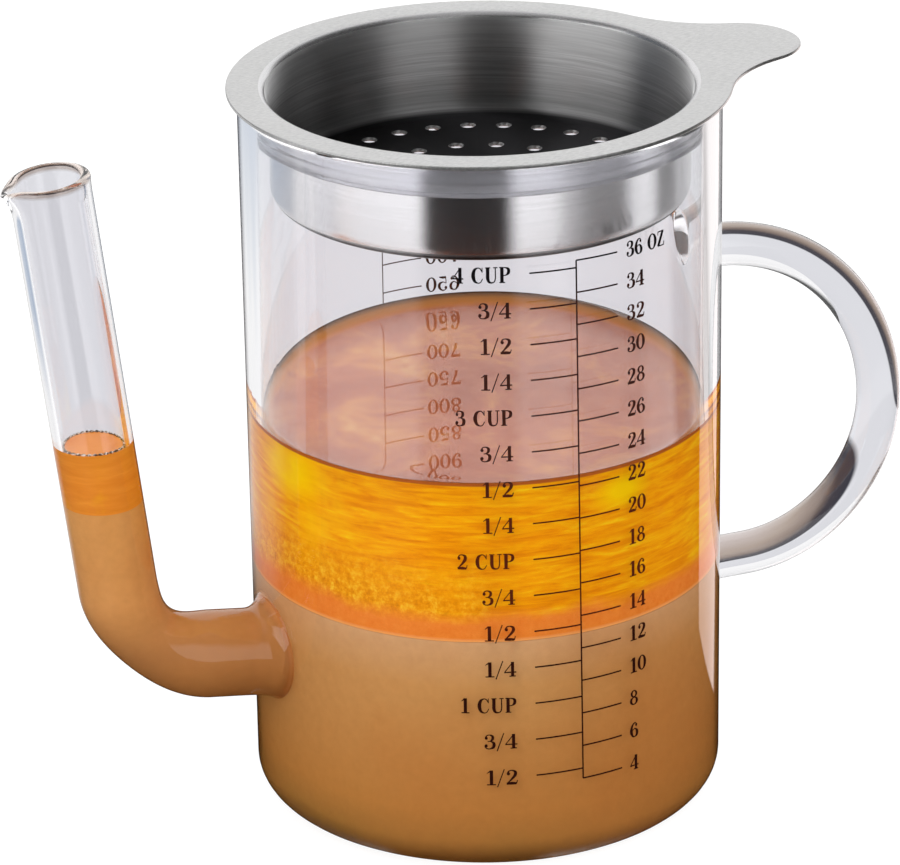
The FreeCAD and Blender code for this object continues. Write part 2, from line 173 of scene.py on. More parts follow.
def face_outwards(mesh, merge=False):
    """Turn the faces outwards, once doubles are merged where that is asked for."""
    work = bmesh.new()
    work.from_mesh(mesh)
    if merge:
        bmesh.ops.remove_doubles(work, verts=work.verts, dist=1e-6)
    bmesh.ops.recalc_face_normals(work, faces=work.faces)
    work.to_mesh(mesh)
    work.free()


def smooth(mesh, angle=35.0):
    """Shade smooth but for edges above that angle."""
    mesh.shade_smooth()
    mesh.set_sharp_from_angle(angle=math.radians(angle))


def sound(mesh, angle=35.0):
    """Merge doubles, face outwards and shade smooth; returns the mesh."""
    face_outwards(mesh, merge=True)
    smooth(mesh, angle)
    return mesh


def linked(name, data):
    """A new object in the scene."""
    thing = bpy.data.objects.new(name, data)
    bpy.context.scene.collection.objects.link(thing)
    return thing


def piece(name, mesh, body, materials, node=None):
    """Make a finished mesh one piece, which rides on a body and may stand for a node."""
    thing = linked(name, mesh)
    for material in materials:
        mesh.materials.append(material)
    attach(thing, body)
    if node:
        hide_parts(node)
    return thing


def rounded(corners, steps=10):
    """Line through (across, up, radius) corners, each rounded by an arc of its radius.

    An arc is the set of centre + radius * (cos, sin) between the two points where it touches
    the sides, which lie radius / tan(half the corner) from the corner.
    """
    points = np.array([corner[:2] for corner in corners], float)
    line = [points[:1]]
    for k in range(1, len(corners) - 1):
        here = points[k]
        radius = corners[k][2]
        if radius == 0:
            line.append(here[None])
            continue
        back = points[k - 1] - here
        ahead = points[k + 1] - here
        back /= np.linalg.norm(back)
        ahead /= np.linalg.norm(ahead)
        half = math.acos(np.clip(back @ ahead, -1, 1)) / 2
        middle = back + ahead
        centre = here + middle / np.linalg.norm(middle) * radius / math.sin(half)
        first = here + back * radius / math.tan(half) - centre
        last = here + ahead * radius / math.tan(half) - centre
        start = math.atan2(first[1], first[0])
        sweep = (math.atan2(last[1], last[0]) - start + math.pi) % TURN - math.pi
        angles = start + sweep * np.linspace(0, 1, steps + 1)
        line.append(centre + radius * np.stack([np.cos(angles), np.sin(angles)], -1))
    line.append(points[-1:])
    return np.concatenate(line)


def turned(profile, angles):
    """Rows of a surface of revolution: (r cos a, r sin a, z) for each (r, z) of the profile."""
    r, z = profile[:, 0, None], profile[:, 1, None]
    return np.stack([r * np.cos(angles), r * np.sin(angles), z + 0 * angles], -1)


def evenly(count):
    """Angles that share a full turn evenly."""
    return np.arange(count) * TURN / count


def carved(mesh, cutter):
    """The mesh with the cutter's inside taken away, shaded smooth."""
    whole, tool = linked("whole", mesh), linked("tool", cutter)
    cut = whole.modifiers.new("cut", "BOOLEAN")
    cut.operation = "DIFFERENCE"
    cut.solver = "EXACT"
    cut.object = tool
    bpy.context.view_layer.update()
    ready = whole.evaluated_get(bpy.context.evaluated_depsgraph_get())
    made = bpy.data.meshes.new_from_object(ready)
    for thing in (whole, tool):
        bpy.data.objects.remove(thing)
    smooth(made)
    return made


# ---- materials

def add(tree, kind, sockets=None, **settings):
    """A node with its settings, and its sockets set to a value or joined to another's output."""
    made = tree.nodes.new("ShaderNode" + kind)
    for name, value in settings.items():
        setattr(made, name, value)
    for name, value in (sockets or {}).items():
        if isinstance(value, bpy.types.Node):
            value = value.outputs[0]
        if isinstance(value, bpy.types.NodeSocket):
            tree.links.new(value, made.inputs[name])
        else:
            made.inputs[name].default_value = value
    return made


def sums(tree, operation, first, second=0.0, third=0.0):
    """One Math node's result."""
    return add(tree, "Math", {0: first, 1: second, 2: third}, operation=operation).outputs[0]


def times(tree, first, second):
    """Their product."""
    return sums(tree, "MULTIPLY", first, second)


def mixed(tree, share, first, second):
    """Colour between first and second."""
    return add(tree, "Mix", {0: share, 6: first, 7: second}, data_type="RGBA").outputs[2]


def run(tree, value, low, high, start=0.0, end=1.0):
    """start where the value is low, end where it is high, a straight run between and no further."""
    return add(tree, "MapRange", {
        "Value": value, "From Min": low, "From Max": high, "To Min": start, "To Max": end}).outputs[0]


def ramp(tree, share, *stops):
    """Colour ramp through (place, colour) stops."""
    made = add(tree, "ValToRGB", {0: share})
    elements = made.color_ramp.elements
    while len(elements) < len(stops):
        elements.new(0.5)
    for element, (place, colour) in zip(elements, stops):
        element.position = place
        element.color = colour if len(colour) == 4 else (*colour, 1)
    return made.outputs[0]


def shade(value):
    """A grey."""
    return (value, value, value, 1)


def paint(red, green, blue):
    """Linear colour of an sRGB triple in 0..255."""
    share = np.array([red, green, blue]) / 255
    linear = np.where(share <= 0.04045, share / 12.92, ((share + 0.055) / 1.055) ** 2.4)
    return (*linear.tolist(), 1)


def place_in(tree):
    """The point in the piece's own coordinates, in metres."""
    return add(tree, "TexCoord").outputs["Object"]


def noise(tree, place, scale, detail, roughness=0.5, distortion=0.0):
    """Cloudy noise, about 0.3 to 0.7."""
    return add(tree, "TexNoise", {
        "Vector": place, "Scale": scale, "Detail": detail, "Roughness": roughness,
        "Distortion": distortion}).outputs["Fac"]


def bumps(tree, height, strength, distance):
    """Bump from a height of 0 to 1, its depth in metres."""
    return add(tree, "Bump", {"Height": height, "Strength": strength, "Distance": distance})


def level_share(tree, low, high):
    """0 at that height, 1 at the other, in millimetres above the jug's underside."""
    height = add(tree, "SeparateXYZ", {0: place_in(tree)}).outputs[2]
    return run(tree, height, low * MM, high * MM)


def from_axis(tree):
    """Distance from the Z axis, in metres."""
    flat = add(tree, "VectorMath", {0: place_in(tree), 1: (1, 1, 0)}, operation="MULTIPLY")
    return add(tree, "VectorMath", {0: flat}, operation="LENGTH").outputs["Value"]


def new_material(name):
    """An empty node material and its tree."""
    material = bpy.data.materials.new(name)
    material.use_nodes = True
    material.node_tree.nodes.clear()
    return material, material.node_tree


def finish(tree, shader, kind="OutputMaterial"):
    """Join a shader node to the tree's output."""
    add(tree, kind, {"Surface": shader})


def skin(tree, sockets):
    """Finish a material with one Principled shader."""
    finish(tree, add(tree, "BsdfPrincipled", sockets))


def clear_glass(rim=False):
    """Clear borosilicate glass, with painted shade where the eye grazes it, and a painted tan in the
    spout's rim for brown surroundings seen through it.

    It lets lamps shine through, and lets light out that has run round inside its wall for long.
    """
    material, tree = new_material("rimmed_glass" if rim else "clear_glass")
    # Painted shade: the tint darkens to near black towards the edges, where the eye grazes the glass.
    facing = add(tree, "LayerWeight", {"Blend": 0.5}).outputs["Facing"]
    front = (0.95, 0.945, 0.958) if rim else (0.975, 0.972, 0.985)
    tint = ramp(tree, facing, (0.0, front), (0.82, front), (0.90, (0.40, 0.38, 0.40)),
                (1.0, (0.08, 0.07, 0.08)))
    if rim:
        # Painted light: the tan in the spout's rim stands in for brown surroundings seen refracted through
        # it.
        along = add(tree, "VectorMath", {0: place_in(tree), 1: tuple(UPRIGHT_AXIS)},
                    operation="DOT_PRODUCT").outputs["Value"]
        painted_rim_tan = run(tree, along, (RIM_ALONG - 1.6) * MM, (RIM_ALONG - 0.8) * MM)
        tint = mixed(tree, painted_rim_tan, tint, (0.40, 0.31, 0.26, 1))
    glass = add(tree, "BsdfPrincipled", {
        "Base Color": tint, "Roughness": 0.0, "IOR": 1.47, "Transmission Weight": 1.0})
    through = add(tree, "BsdfTransparent", {"Color": (0.97, 0.97, 0.975, 1)})
    path = add(tree, "LightPath")
    trapped = sums(tree, "GREATER_THAN", path.outputs["Ray Depth"], TRAPPED_DEPTH)
    straight = sums(tree, "MAXIMUM", path.outputs["Is Shadow Ray"], trapped)
    finish(tree, add(tree, "MixShader", {0: straight, 1: glass, 2: through}))
    return material


def milky_silicone():
    """Translucent silicone with a soft skin."""
    material, tree = new_material("silicone")
    cloud = noise(tree, place_in(tree), 90.0, 3.0)
    tint = mixed(tree, cloud, paint(249, 249, 255), paint(254, 254, 255))
    skin(tree, {
        "Base Color": tint, "Roughness": 0.15, "IOR": 1.26, "Transmission Weight": 0.88,
        "Normal": bumps(tree, cloud, 0.08, 0.0002)})
    return material


def round_coordinates(tree, grain_round, grain_across):
    """Object coordinates bent round Z: (cos, sin) of the angle scaled one way, r + z the other."""
    x, y, z = add(tree, "SeparateXYZ", {0: place_in(tree)}).outputs
    radius = sums(tree, "MAXIMUM", from_axis(tree), 1e-5)
    across = times(tree, sums(tree, "ADD", radius, z), grain_across)
    return add(tree, "CombineXYZ", {
        0: times(tree, sums(tree, "DIVIDE", x, radius), grain_round),
        1: times(tree, sums(tree, "DIVIDE", y, radius), grain_round),
        2: across})


def brushed_steel():
    """Stainless steel brushed round the bowl: fine rings in tone, gloss and height.

    The bowl's inside has painted shade below the painted light level and painted light above it,
    and painted shade makes its floor and the foot of its wall near black; its outside has an even,
    glossier finish.
    """
    material, tree = new_material("brushed_steel")
    fine = noise(tree, round_coordinates(tree, 2.2, 9000.0), 1.0, 2.0)
    broad = noise(tree, round_coordinates(tree, 1.6, 2200.0), 1.0, 5.0, 0.7)
    tone = mixed(tree, run(tree, broad, 0.3, 0.7), (0.48, 0.472, 0.475, 1), (0.84, 0.835, 0.84, 1))
    # Painted shade below the painted light level and painted light above it, for how light falls in the
    # bowl.
    painted_shade = level_share(tree, PAINTED_LIGHT_LEVEL, PAINTED_LIGHT_LEVEL - 9)
    painted_light = level_share(tree, PAINTED_LIGHT_LEVEL, PAINTED_LIGHT_LEVEL + 7)
    tone = mixed(tree, times(tree, painted_shade, 0.5), tone, shade(0.2))
    tone = mixed(tree, times(tree, painted_light, 0.65), tone, shade(1))
    # Painted shade: the bowl's floor and the foot of its wall are painted near black.
    floor_top = BOWL_BOTTOM + SHEET
    above = level_share(tree, floor_top - 0.05, floor_top - 0.02)
    below = level_share(tree, BOWL_BOTTOM + 2.4, BOWL_BOTTOM + 1.4)
    tone = mixed(tree, times(tree, above, below), tone, (0.05, 0.049, 0.052, 1))
    gloss = sums(tree, "MULTIPLY_ADD", painted_light, 0.14, run(tree, fine, 0.0, 1.0, 0.42, 0.54))
    outside = sums(tree, "GREATER_THAN", from_axis(tree), (BOWL_RADIUS - SHEET / 2) * MM)
    gloss = add(tree, "Mix", {0: outside, 2: gloss, 3: 0.22})
    tone = mixed(tree, times(tree, outside, 0.75), tone, (0.66, 0.655, 0.665, 1))
    skin(tree, {
        "Base Color": tone, "Metallic": 1.0, "Roughness": gloss,
        "Anisotropic": 1.0, "Anisotropic Rotation": 0.25,
        "Normal": bumps(tree, fine, 0.25, 0.00004),
        "Tangent": add(tree, "Tangent", direction_type="RADIAL", axis="Z")})
    return material


def satin_steel():
    """The flange and tab: the same steel with a fine even satin and hairlines along the tab."""
    material, tree = new_material("satin_steel")
    place = place_in(tree)
    grain = noise(tree, place, 2600.0, 2.0)
    tone = mixed(tree, noise(tree, place, 60.0, 2.0), (0.68, 0.677, 0.672, 1), (0.76, 0.757, 0.752, 1))
    drawn = add(tree, "Mapping", {"Vector": place, "Scale": (700.0, 3600.0, 700.0)})
    hair = run(tree, noise(tree, drawn, 1.0, 3.0, 0.7), 0.40, 0.62, 0.0, 0.55)
    tone = mixed(tree, hair, tone, (0.46, 0.46, 0.46, 1))
    skin(tree, {
        "Base Color": tone, "Metallic": 1.0, "Roughness": run(tree, grain, 0.0, 1.0, 0.32, 0.46),
        "Normal": bumps(tree, grain, 0.3, 0.00005)})
    return material


def baked_ink():
    """Black enamel print, baked into the glass, its tone painted by height as painted see-through light.

    It is painted dark brown at its foot, warmest before the fat and black before the clear glass,
    for the contents that show through thin ink.
    """
    material, tree = new_material("scale_print")
    grain = noise(tree, place_in(tree), 2400.0, 2.0)
    # Painted see-through light: the ink's tone by height stands in for the contents behind it.
    painted_see_through = ramp(tree, level_share(tree, 0, 160), (0.32, paint(42, 9, 2)), (0.38, paint(80, 25, 2)),
                (0.54, paint(80, 25, 2)), (0.58, paint(58, 24, 14)), (0.80, paint(54, 24, 16)),
                (0.845, paint(14, 10, 14)))
    tone = mixed(tree, grain, shade(0.0), painted_see_through)
    tone = mixed(tree, 0.6, tone, painted_see_through)
    skin(tree, {"Base Color": tone, "Roughness": 0.45, "IOR": 1.45, "Specular IOR Level": 0.1})
    return material


# Colour of the gravy by height: in the jug, and in the spout where the thin column lights up.
JUG_BROWNS = ((0.0, paint(148, 108, 50)), (0.17, paint(198, 138, 70)), (0.54, paint(208, 156, 94)),
              (0.67, paint(214, 172, 124)))
SPOUT_BROWNS = ((0.36, paint(176, 116, 58)), (0.56, paint(188, 130, 76)), (0.72, paint(222, 160, 94)),
                (0.96, paint(234, 176, 104)))


def gravy_brown(name, browns):
    """Gravy: a cloudy brown, paler just below the fat and darker towards the bottom."""
    material, tree = new_material(name)
    place = place_in(tree)
    cloud = noise(tree, place, 14.0, 3.0)
    speck = noise(tree, place, 420.0, 4.0, 0.7)
    tone = ramp(tree, level_share(tree, 0.0, 80.0), *browns)
    tone = mixed(tree, run(tree, cloud, 0.4, 0.65, 0.0, 0.7), tone, paint(194, 128, 64))
    tone = mixed(tree, run(tree, speck, 0.35, 0.75, 0.0, 0.12), tone, paint(120, 70, 28))
    skin(tree, {"Base Color": tone, "Roughness": 0.3, "IOR": 1.38, "Specular IOR Level": 0.03})
    return material


def streaks(tree, along, up, detail):
    """Noise drawn out level: stretched along the horizontal, tight in height."""
    drawn = add(tree, "Mapping", {"Vector": place_in(tree), "Scale": (along, along, up)})
    return noise(tree, drawn, 1.0, detail, 0.62, 0.5)


# Painted light on the fat near the top: brighter patches, (middle, reach) in millimetres. Heights count
# PATCH_STRETCH times.
PAINTED_LIGHT_PATCHES = (((-46.5, -11.0, 84.5), 13.0), ((11.0, -47.6, 84.5), 8.0))
PATCH_STRETCH = 1.7

# Colour of the fat along its streaks, in the jug and in the spout.
JUG_AMBERS = ((0.30, paint(226, 132, 2)), (0.46, paint(243, 160, 4)), (0.58, paint(250, 180, 8)),
              (0.72, paint(255, 214, 24)))
SPOUT_AMBERS = ((0.30, paint(226, 136, 40)), (0.48, paint(231, 143, 45)), (0.60, paint(235, 149, 50)),
                (0.74, paint(240, 158, 56)))


def amber_fat(name, ambers, ringed=False):
    """Melted fat: amber with level streaks of yellow, an orange cloudy foot with fine bubbles.

    Ringed fat has a brown brim where it is drawn up the glass.
    """
    material, tree = new_material(name)
    place = place_in(tree)
    tone = ramp(tree, streaks(tree, 95.0, 800.0, 7.0), *ambers)
    glow = run(tree, noise(tree, place, 34.0, 5.0, 0.6), 0.55, 0.72, 0.0, 0.8)
    tone = mixed(tree, glow, tone, paint(255, 208, 16))
    flat = add(tree, "VectorMath", {0: place, 1: (1, 1, PATCH_STRETCH)}, operation="MULTIPLY")
    # Painted light: two brighter patches placed near the fat's top.
    for (x, y, z), reach in PAINTED_LIGHT_PATCHES:
        middle = (x * MM, y * MM, z * PATCH_STRETCH * MM)
        away = add(tree, "VectorMath", {0: flat, 1: middle}, operation="DISTANCE").outputs["Value"]
        painted_light_patch = run(tree, away, reach * MM, reach * MM * 0.3)
        tone = mixed(tree, times(tree, painted_light_patch, 0.95), tone, paint(255, 216, 0))
    froth = noise(tree, place, 560.0, 8.0, 0.85)
    specks = ramp(tree, froth, (0.34, paint(206, 120, 2)), (0.50, paint(242, 164, 8)),
                  (0.64, paint(255, 220, 60)))
    sideways = add(tree, "SeparateXYZ", {0: place}).outputs[0]
    lean = run(tree, sideways, 20 * MM, -46 * MM, -0.16, 0.13)
    patchy = run(tree, sums(tree, "ADD", noise(tree, place, 40.0, 3.0), lean), 0.44, 0.70)
    low = level_share(tree, GRAVY_LEVEL + 20, GRAVY_LEVEL + 9)
    tone = mixed(tree, times(tree, patchy, low), tone, specks)
    foot = ramp(tree, froth, (0.35, paint(236, 130, 44)), (0.55, paint(242, 144, 56)),
                (0.72, paint(247, 158, 70)))
    edge = level_share(tree, GRAVY_LEVEL + 3, GRAVY_LEVEL + 9)
    waver = sums(tree, "SUBTRACT", noise(tree, place, 60.0, 6.0), 0.5)
    edge = run(tree, sums(tree, "ADD", edge, times(tree, waver, 1.6)), 0.2, 0.8)
    tone = mixed(tree, edge, foot, tone)
    thin = level_share(tree, GRAVY_LEVEL + 0.9, GRAVY_LEVEL + 0.3)
    tone = mixed(tree, thin, tone, paint(244, 170, 96))
    if ringed:
        brim = FAT_LEVEL + FAT_CLIMB - FAT_BRIM
        tone = mixed(tree, level_share(tree, brim, brim + 0.25), tone, paint(176, 92, 34))
    skin(tree, {"Base Color": tone, "Roughness": 0.3, "IOR": 1.46, "Specular IOR Level": 0.03})
    return material


def spout_skin():
    """The fat's surface in the spout: pale orange and glossy."""
    material, tree = new_material("spout_skin")
    tone = ramp(tree, streaks(tree, 120.0, 120.0, 4.0), (0.35, paint(222, 128, 44)),
                (0.65, paint(234, 150, 72)))
    skin(tree, {"Base Color": tone, "Roughness": 0.2, "IOR": 1.46, "Specular IOR Level": 0.2})
    return material


def bubble_film():
    """Small bubbles: dark and pale by turns."""
    material, tree = new_material("bubbles")
    tone = ramp(tree, noise(tree, place_in(tree), 2300.0, 1.0), (0.40, paint(58, 46, 36)),
                (0.50, paint(120, 98, 74)), (0.60, paint(232, 218, 204)))
    skin(tree, {"Base Color": tone, "Roughness": 0.12, "IOR": 1.4})
    return material


def fat_surface():
    """The fat's still surface: orange under a strong gloss, with drifting paler islands.

    Towards the glass it pales and then darkens, where it is drawn up the wall.
    """
    material, tree = new_material("fat_surface")
    tone = ramp(tree, streaks(tree, 48.0, 48.0, 9.0), (0.30, paint(192, 102, 66)),
                (0.50, paint(212, 124, 84)), (0.62, paint(232, 150, 88)), (0.76, paint(250, 190, 116)))
    rim = run(tree, from_axis(tree), 46.0 * MM, 48.9 * MM)
    fringe = ramp(tree, rim, (0.2, paint(238, 146, 60)), (0.7, paint(208, 142, 78)),
                  (0.88, paint(146, 110, 80)), (0.96, paint(70, 50, 38)))
    tone = mixed(tree, sums(tree, "MINIMUM", times(tree, rim, 2.2), 1.0), tone, fringe)
    ripple = noise(tree, place_in(tree), 60.0, 2.0)
    skin(tree, {
        "Base Color": tone, "Roughness": 0.0, "IOR": 1.9, "Normal": bumps(tree, ripple, 0.01, 0.0003)})
    return material


# ---- glass

def jug_mesh():
    """Profile of the jug turned about Z, then the hole for the spout cut through its wall."""
    profile = rounded([
        (0, HOLLOW, 0), (HOLLOW_RADIUS, HOLLOW, HOLLOW_ROUND), (BASE_RADIUS, 0, HOLLOW_ROUND),
        (JUG_RADIUS, 0, BASE_CORNER), (JUG_RADIUS, JUG_TALL, LIP_ROUND), (BORE_RADIUS, JUG_TALL, LIP_ROUND),
        (BORE_RADIUS, FLOOR_LEVEL, INNER_CORNER), (0, FLOOR_LEVEL, 0)])
    mesh = sound(surface("jug", turned(profile, evenly(288))))
    bore = foot_ring(evenly(64)) * (FOOT_ACROSS / 2 - SPOUT_WALL)
    rows = [FOOT_START + FOOT_AXIS * out + bore for out in (-8.0, 8.0)]
    return carved(mesh, sound(surface("bore", rows, caps=True)))


def foot_ring(angles):
    """Directions square to the foot's axis: cos * side + sin * Y."""
    return np.cos(angles)[:, None] * FOOT_SIDE + np.sin(angles)[:, None] * (0, 1, 0)


def spout_path():
    """Stations along the spout's axis past its root: (x, z, tilt, outside diameter) rows.

    The bend's diameter runs evenly from foot to upright, less PINCH_DIP * sin^2 of the way round.
    """
    root = FOOT_START[::2]
    reach = np.linalg.norm(np.array(BEND_MIDDLE) - BEND_RADIUS * FOOT_SIDE[::2] - root)
    foot = np.linspace(WELD_REACH, reach, 6)[:-1, None]
    foot_points = root + foot * FOOT_AXIS[::2]
    share = np.linspace(0, 1, 49)
    tilt = FOOT_TILT + (LEAN - FOOT_TILT) * share
    bend_points = np.array(BEND_MIDDLE) - BEND_RADIUS * np.stack([np.cos(tilt), np.sin(tilt)], -1)
    across = FOOT_ACROSS + (UPRIGHT_ACROSS - FOOT_ACROSS) * share
    across -= PINCH_DIP * np.sin(math.pi * share) ** 2
    foot_rows = np.column_stack([foot_points, np.full((len(foot), 2), (FOOT_TILT, FOOT_ACROSS))])
    bend_rows = np.column_stack([bend_points, tilt, across])
    return np.concatenate([foot_rows, bend_rows])


def upright_rows(levels):
    """Stations on the straight upright at those distances from its start."""
    start = spout_path()[-1]
    out = np.asarray(levels, float)[:, None] * UPRIGHT_AXIS[::2]
    return np.column_stack([start[:2] + out, np.full((len(levels), 2), (LEAN, UPRIGHT_ACROSS))])


def upright_length():
    """From the upright's start to the mouth, along its axis."""
    return (MOUTH_LEVEL - spout_path()[-1, 1]) / math.cos(LEAN)


def rings(stations, radius, angles):
    """Rows of circles square to the path: middle + radius * (cos * side + sin * Y)."""
    x, z, tilt = (stations[:, k, None] for k in range(3))
    radius = np.asarray(radius)[:, None]
    return np.stack([
        x + radius * np.cos(tilt) * np.cos(angles),
        radius * np.sin(angles) + 0 * x,
        z + radius * np.sin(tilt) * np.cos(angles)], -1)


def weld_rows(radius_at, angles, shares):
    """Rows that start on the jug's round side and straighten out to a flat ring at WELD_REACH.

    Along the foot's axis a point lies at (1 - share) * start + share * WELD_REACH, where start is
    where its line meets the cylinder that lies WELD_BURY inside the jug's outside.
    """
    rows = []
    for share in shares:
        base = FOOT_START + foot_ring(angles) * radius_at(share)
        x = -np.sqrt((JUG_RADIUS - WELD_BURY) ** 2 - base[:, 1] ** 2)
        start = (x - base[:, 0]) / FOOT_AXIS[0]
        out = (1 - share) * start + share * WELD_REACH
        rows.append(base + FOOT_AXIS * out[:, None])
    return np.array(rows)


def weld_lift(angles):
    """How far the weld flares beyond the foot on the jug: WELD_FLARE at the sides, more on top."""
    return (WELD_FLARE + WELD_LEAN * np.cos(angles))[:, None]


def spout_mesh():
    """Tube carried along the spout's axis: up its outside, over the rim, down its bore.

    The beak pulls the rim out and down by a bell curve round the -X side that fades down the tube.
    """
    angles = evenly(96)
    path = spout_path()
    length = upright_length()
    wall = SPOUT_WALL / 2
    plain = np.linspace(4, length - 14, 16)
    shaped = np.linspace(length - 13, length - 1.5, 20)
    levels = np.concatenate([plain, shaped])
    outside = np.concatenate([path, upright_rows(levels)])
    around = np.linspace(0, math.pi, 17)
    lip = upright_rows(length + 1.15 * wall * (np.sin(around) - 1))
    lip_radius = UPRIGHT_ACROSS / 2 - wall + (wall + 0.85 * LIP_BEAD) * np.cos(around)
    stations = np.concatenate([outside, lip, outside[::-1]])
    bead = LIP_BEAD * np.exp(-((length - levels) / LIP_BEAD_FADE) ** 2)
    bead = np.concatenate([np.zeros(len(path)), bead])
    radius = np.concatenate([
        outside[:, 3] / 2 + bead, lip_radius, (outside[:, 3] / 2 - SPOUT_WALL - bead * 0.8)[::-1]])
    rows = rings(stations, radius, angles)

    mouth = np.array([path[-1, 0], 0, path[-1, 1]]) + UPRIGHT_AXIS * length
    below = (mouth - rows) @ UPRIGHT_AXIS
    bell = np.exp(-((angles - math.pi) / BEAK_SPAN) ** 2)
    pull = bell * np.exp(-(np.maximum(below, 0) / BEAK_PULL_FADE) ** 2)
    drop = bell * np.exp(-(np.maximum(below, 0) / BEAK_DROP_FADE) ** 2)
    near = rows[..., 2] > MOUTH_LEVEL - BEAK_TALL
    outward = np.array([-math.cos(LEAN), 0, -math.sin(LEAN)])
    rows += (near * pull)[..., None] * outward * BEAK_PULL
    rows -= (near * drop)[..., None] * UPRIGHT_AXIS * BEAK_DROP

    def flare(share):
        return FOOT_ACROSS / 2 + weld_lift(angles) * (1 - share) ** 3
    shares = np.linspace(0, 1, 13)[:-1]
    weld = weld_rows(flare, angles, shares)
    bore = weld_rows(lambda share: FOOT_ACROSS / 2 - SPOUT_WALL, angles, shares[::-1])
    return sound(surface("spout", np.concatenate([weld, rows, bore]), loop=True))


def handle_mesh():
    """Rod carried from weld to weld round the two quarter bends, flared where it meets the jug."""
    upper, lower = UPPER_BEND, LOWER_BEND
    quarter = np.linspace(0, math.pi / 2, 41)
    top = np.stack([upper[0] + upper[1] * np.sin(quarter), BENDS_MEET + upper[1] * np.cos(quarter),
                    quarter], -1)
    bottom = np.stack([lower[0] + lower[1] * np.cos(quarter), BENDS_MEET - lower[1] * np.sin(quarter),
                       quarter + math.pi / 2], -1)[1:]
    angles = evenly(64)
    line = np.concatenate([top, bottom])
    x, z, turn = (line[:, k, None] for k in range(3))
    rows = np.stack([
        x + ROD_RADIUS * np.sin(turn) * np.cos(angles),
        ROD_RADIUS * np.sin(angles) + 0 * x,
        z + ROD_RADIUS * np.cos(turn) * np.cos(angles)], -1)

    def root(level, reach, up):
        shares = np.linspace(0, 1, 17)[:-1]
        out = []
        for share in shares:
            along = share * (reach - JUG_RADIUS)
            flare = HANDLE_WELD * max(0.0, 1 - along / HANDLE_FLARE) ** 2
            radius = ROD_RADIUS + flare
            y = radius * np.sin(angles)
            x = (1 - share) * np.sqrt((JUG_RADIUS - HANDLE_BURY) ** 2 - y ** 2) + share * reach
            out.append(np.stack([x, y, level + up * radius * np.cos(angles)], -1))
        return np.array(out)
    start = root(HANDLE_TOP, upper[0], 1)
    end = root(HANDLE_BOTTOM, lower[0], -1)[::-1]
    return sound(surface("handle", np.concatenate([start, rows, end]), caps=True))


# ---- seal and strainer

def seal_mesh():
    """Section of the seal turned about Z, its plug ribbed by three half rounds."""
    top = FLANGE_TOP - SHEET
    foot = SEAL_REST - SEAL_DEPTH
    line = rounded([
        (SEAL_BORE + 1.6, top, 0), (SEAL_BORE + 0.45, top - 0.45, 0.4), (SEAL_BORE, top - 1.6, 0.4),
        (SEAL_BORE, foot, 0.3), (SEAL_PLUG, foot, 0.6), (SEAL_PLUG, SEAL_REST, 0)], 5)[:-1]
    levels = np.linspace(foot + 0.1, SEAL_REST, 60)
    bulge = np.zeros(60)
    for k in range(3):
        off = (levels - (SEAL_REST - RIB_STEP * (k + 1))) / RIB
        bulge = np.maximum(bulge, RIB * np.sqrt(np.clip(1 - off ** 2, 0, 1)))
    ribs = np.stack([SEAL_PLUG + bulge, levels], -1)[6:]
    lip = rounded([(SEAL_PLUG, SEAL_REST, 0), (SEAL_LIP, SEAL_REST, 0.3), (SEAL_LIP, top, 0.3),
                   (SEAL_BORE + 1.6, top, 0)], 5)
    profile = np.concatenate([line, ribs, lip[1:-1]])
    return sound(surface("seal", turned(profile, evenly(256)), loop=True), 50)


def flange_edge(angles):
    """Distance from the axis to the flange's outline along each ray.

    It is the flange's circle, the near side of the flank circle (e.c - sqrt((e.c)^2 - c^2 + r^2)),
    or the far side of the tab's end circle (e.c + sqrt(...)), e the ray and c the circle's middle.
    """
    root_span = FLANGE_RADIUS + TAB_FLANK
    neck_span = TAB_END + TAB_FLANK
    flank_x = (root_span ** 2 - neck_span ** 2 + TAB_MIDDLE ** 2) / (2 * TAB_MIDDLE)
    flank_y = math.sqrt(root_span ** 2 - flank_x ** 2)
    neck_x = TAB_MIDDLE + (flank_x - TAB_MIDDLE) * TAB_END / neck_span
    neck_y = flank_y * TAB_END / neck_span
    turn = np.abs((angles + math.pi) % TURN - math.pi)
    flank_dot = np.cos(turn) * flank_x + np.sin(turn) * flank_y
    flank = flank_dot - np.sqrt(np.maximum(flank_dot ** 2 - root_span ** 2 + TAB_FLANK ** 2, 0))
    end_dot = np.cos(turn) * TAB_MIDDLE
    end = end_dot + np.sqrt(np.maximum(end_dot ** 2 - TAB_MIDDLE ** 2 + TAB_END ** 2, 0))
    edge = np.where(turn < math.atan2(flank_y, flank_x), flank, FLANGE_RADIUS)
    return np.where(turn < math.atan2(neck_y, neck_x), end, edge)


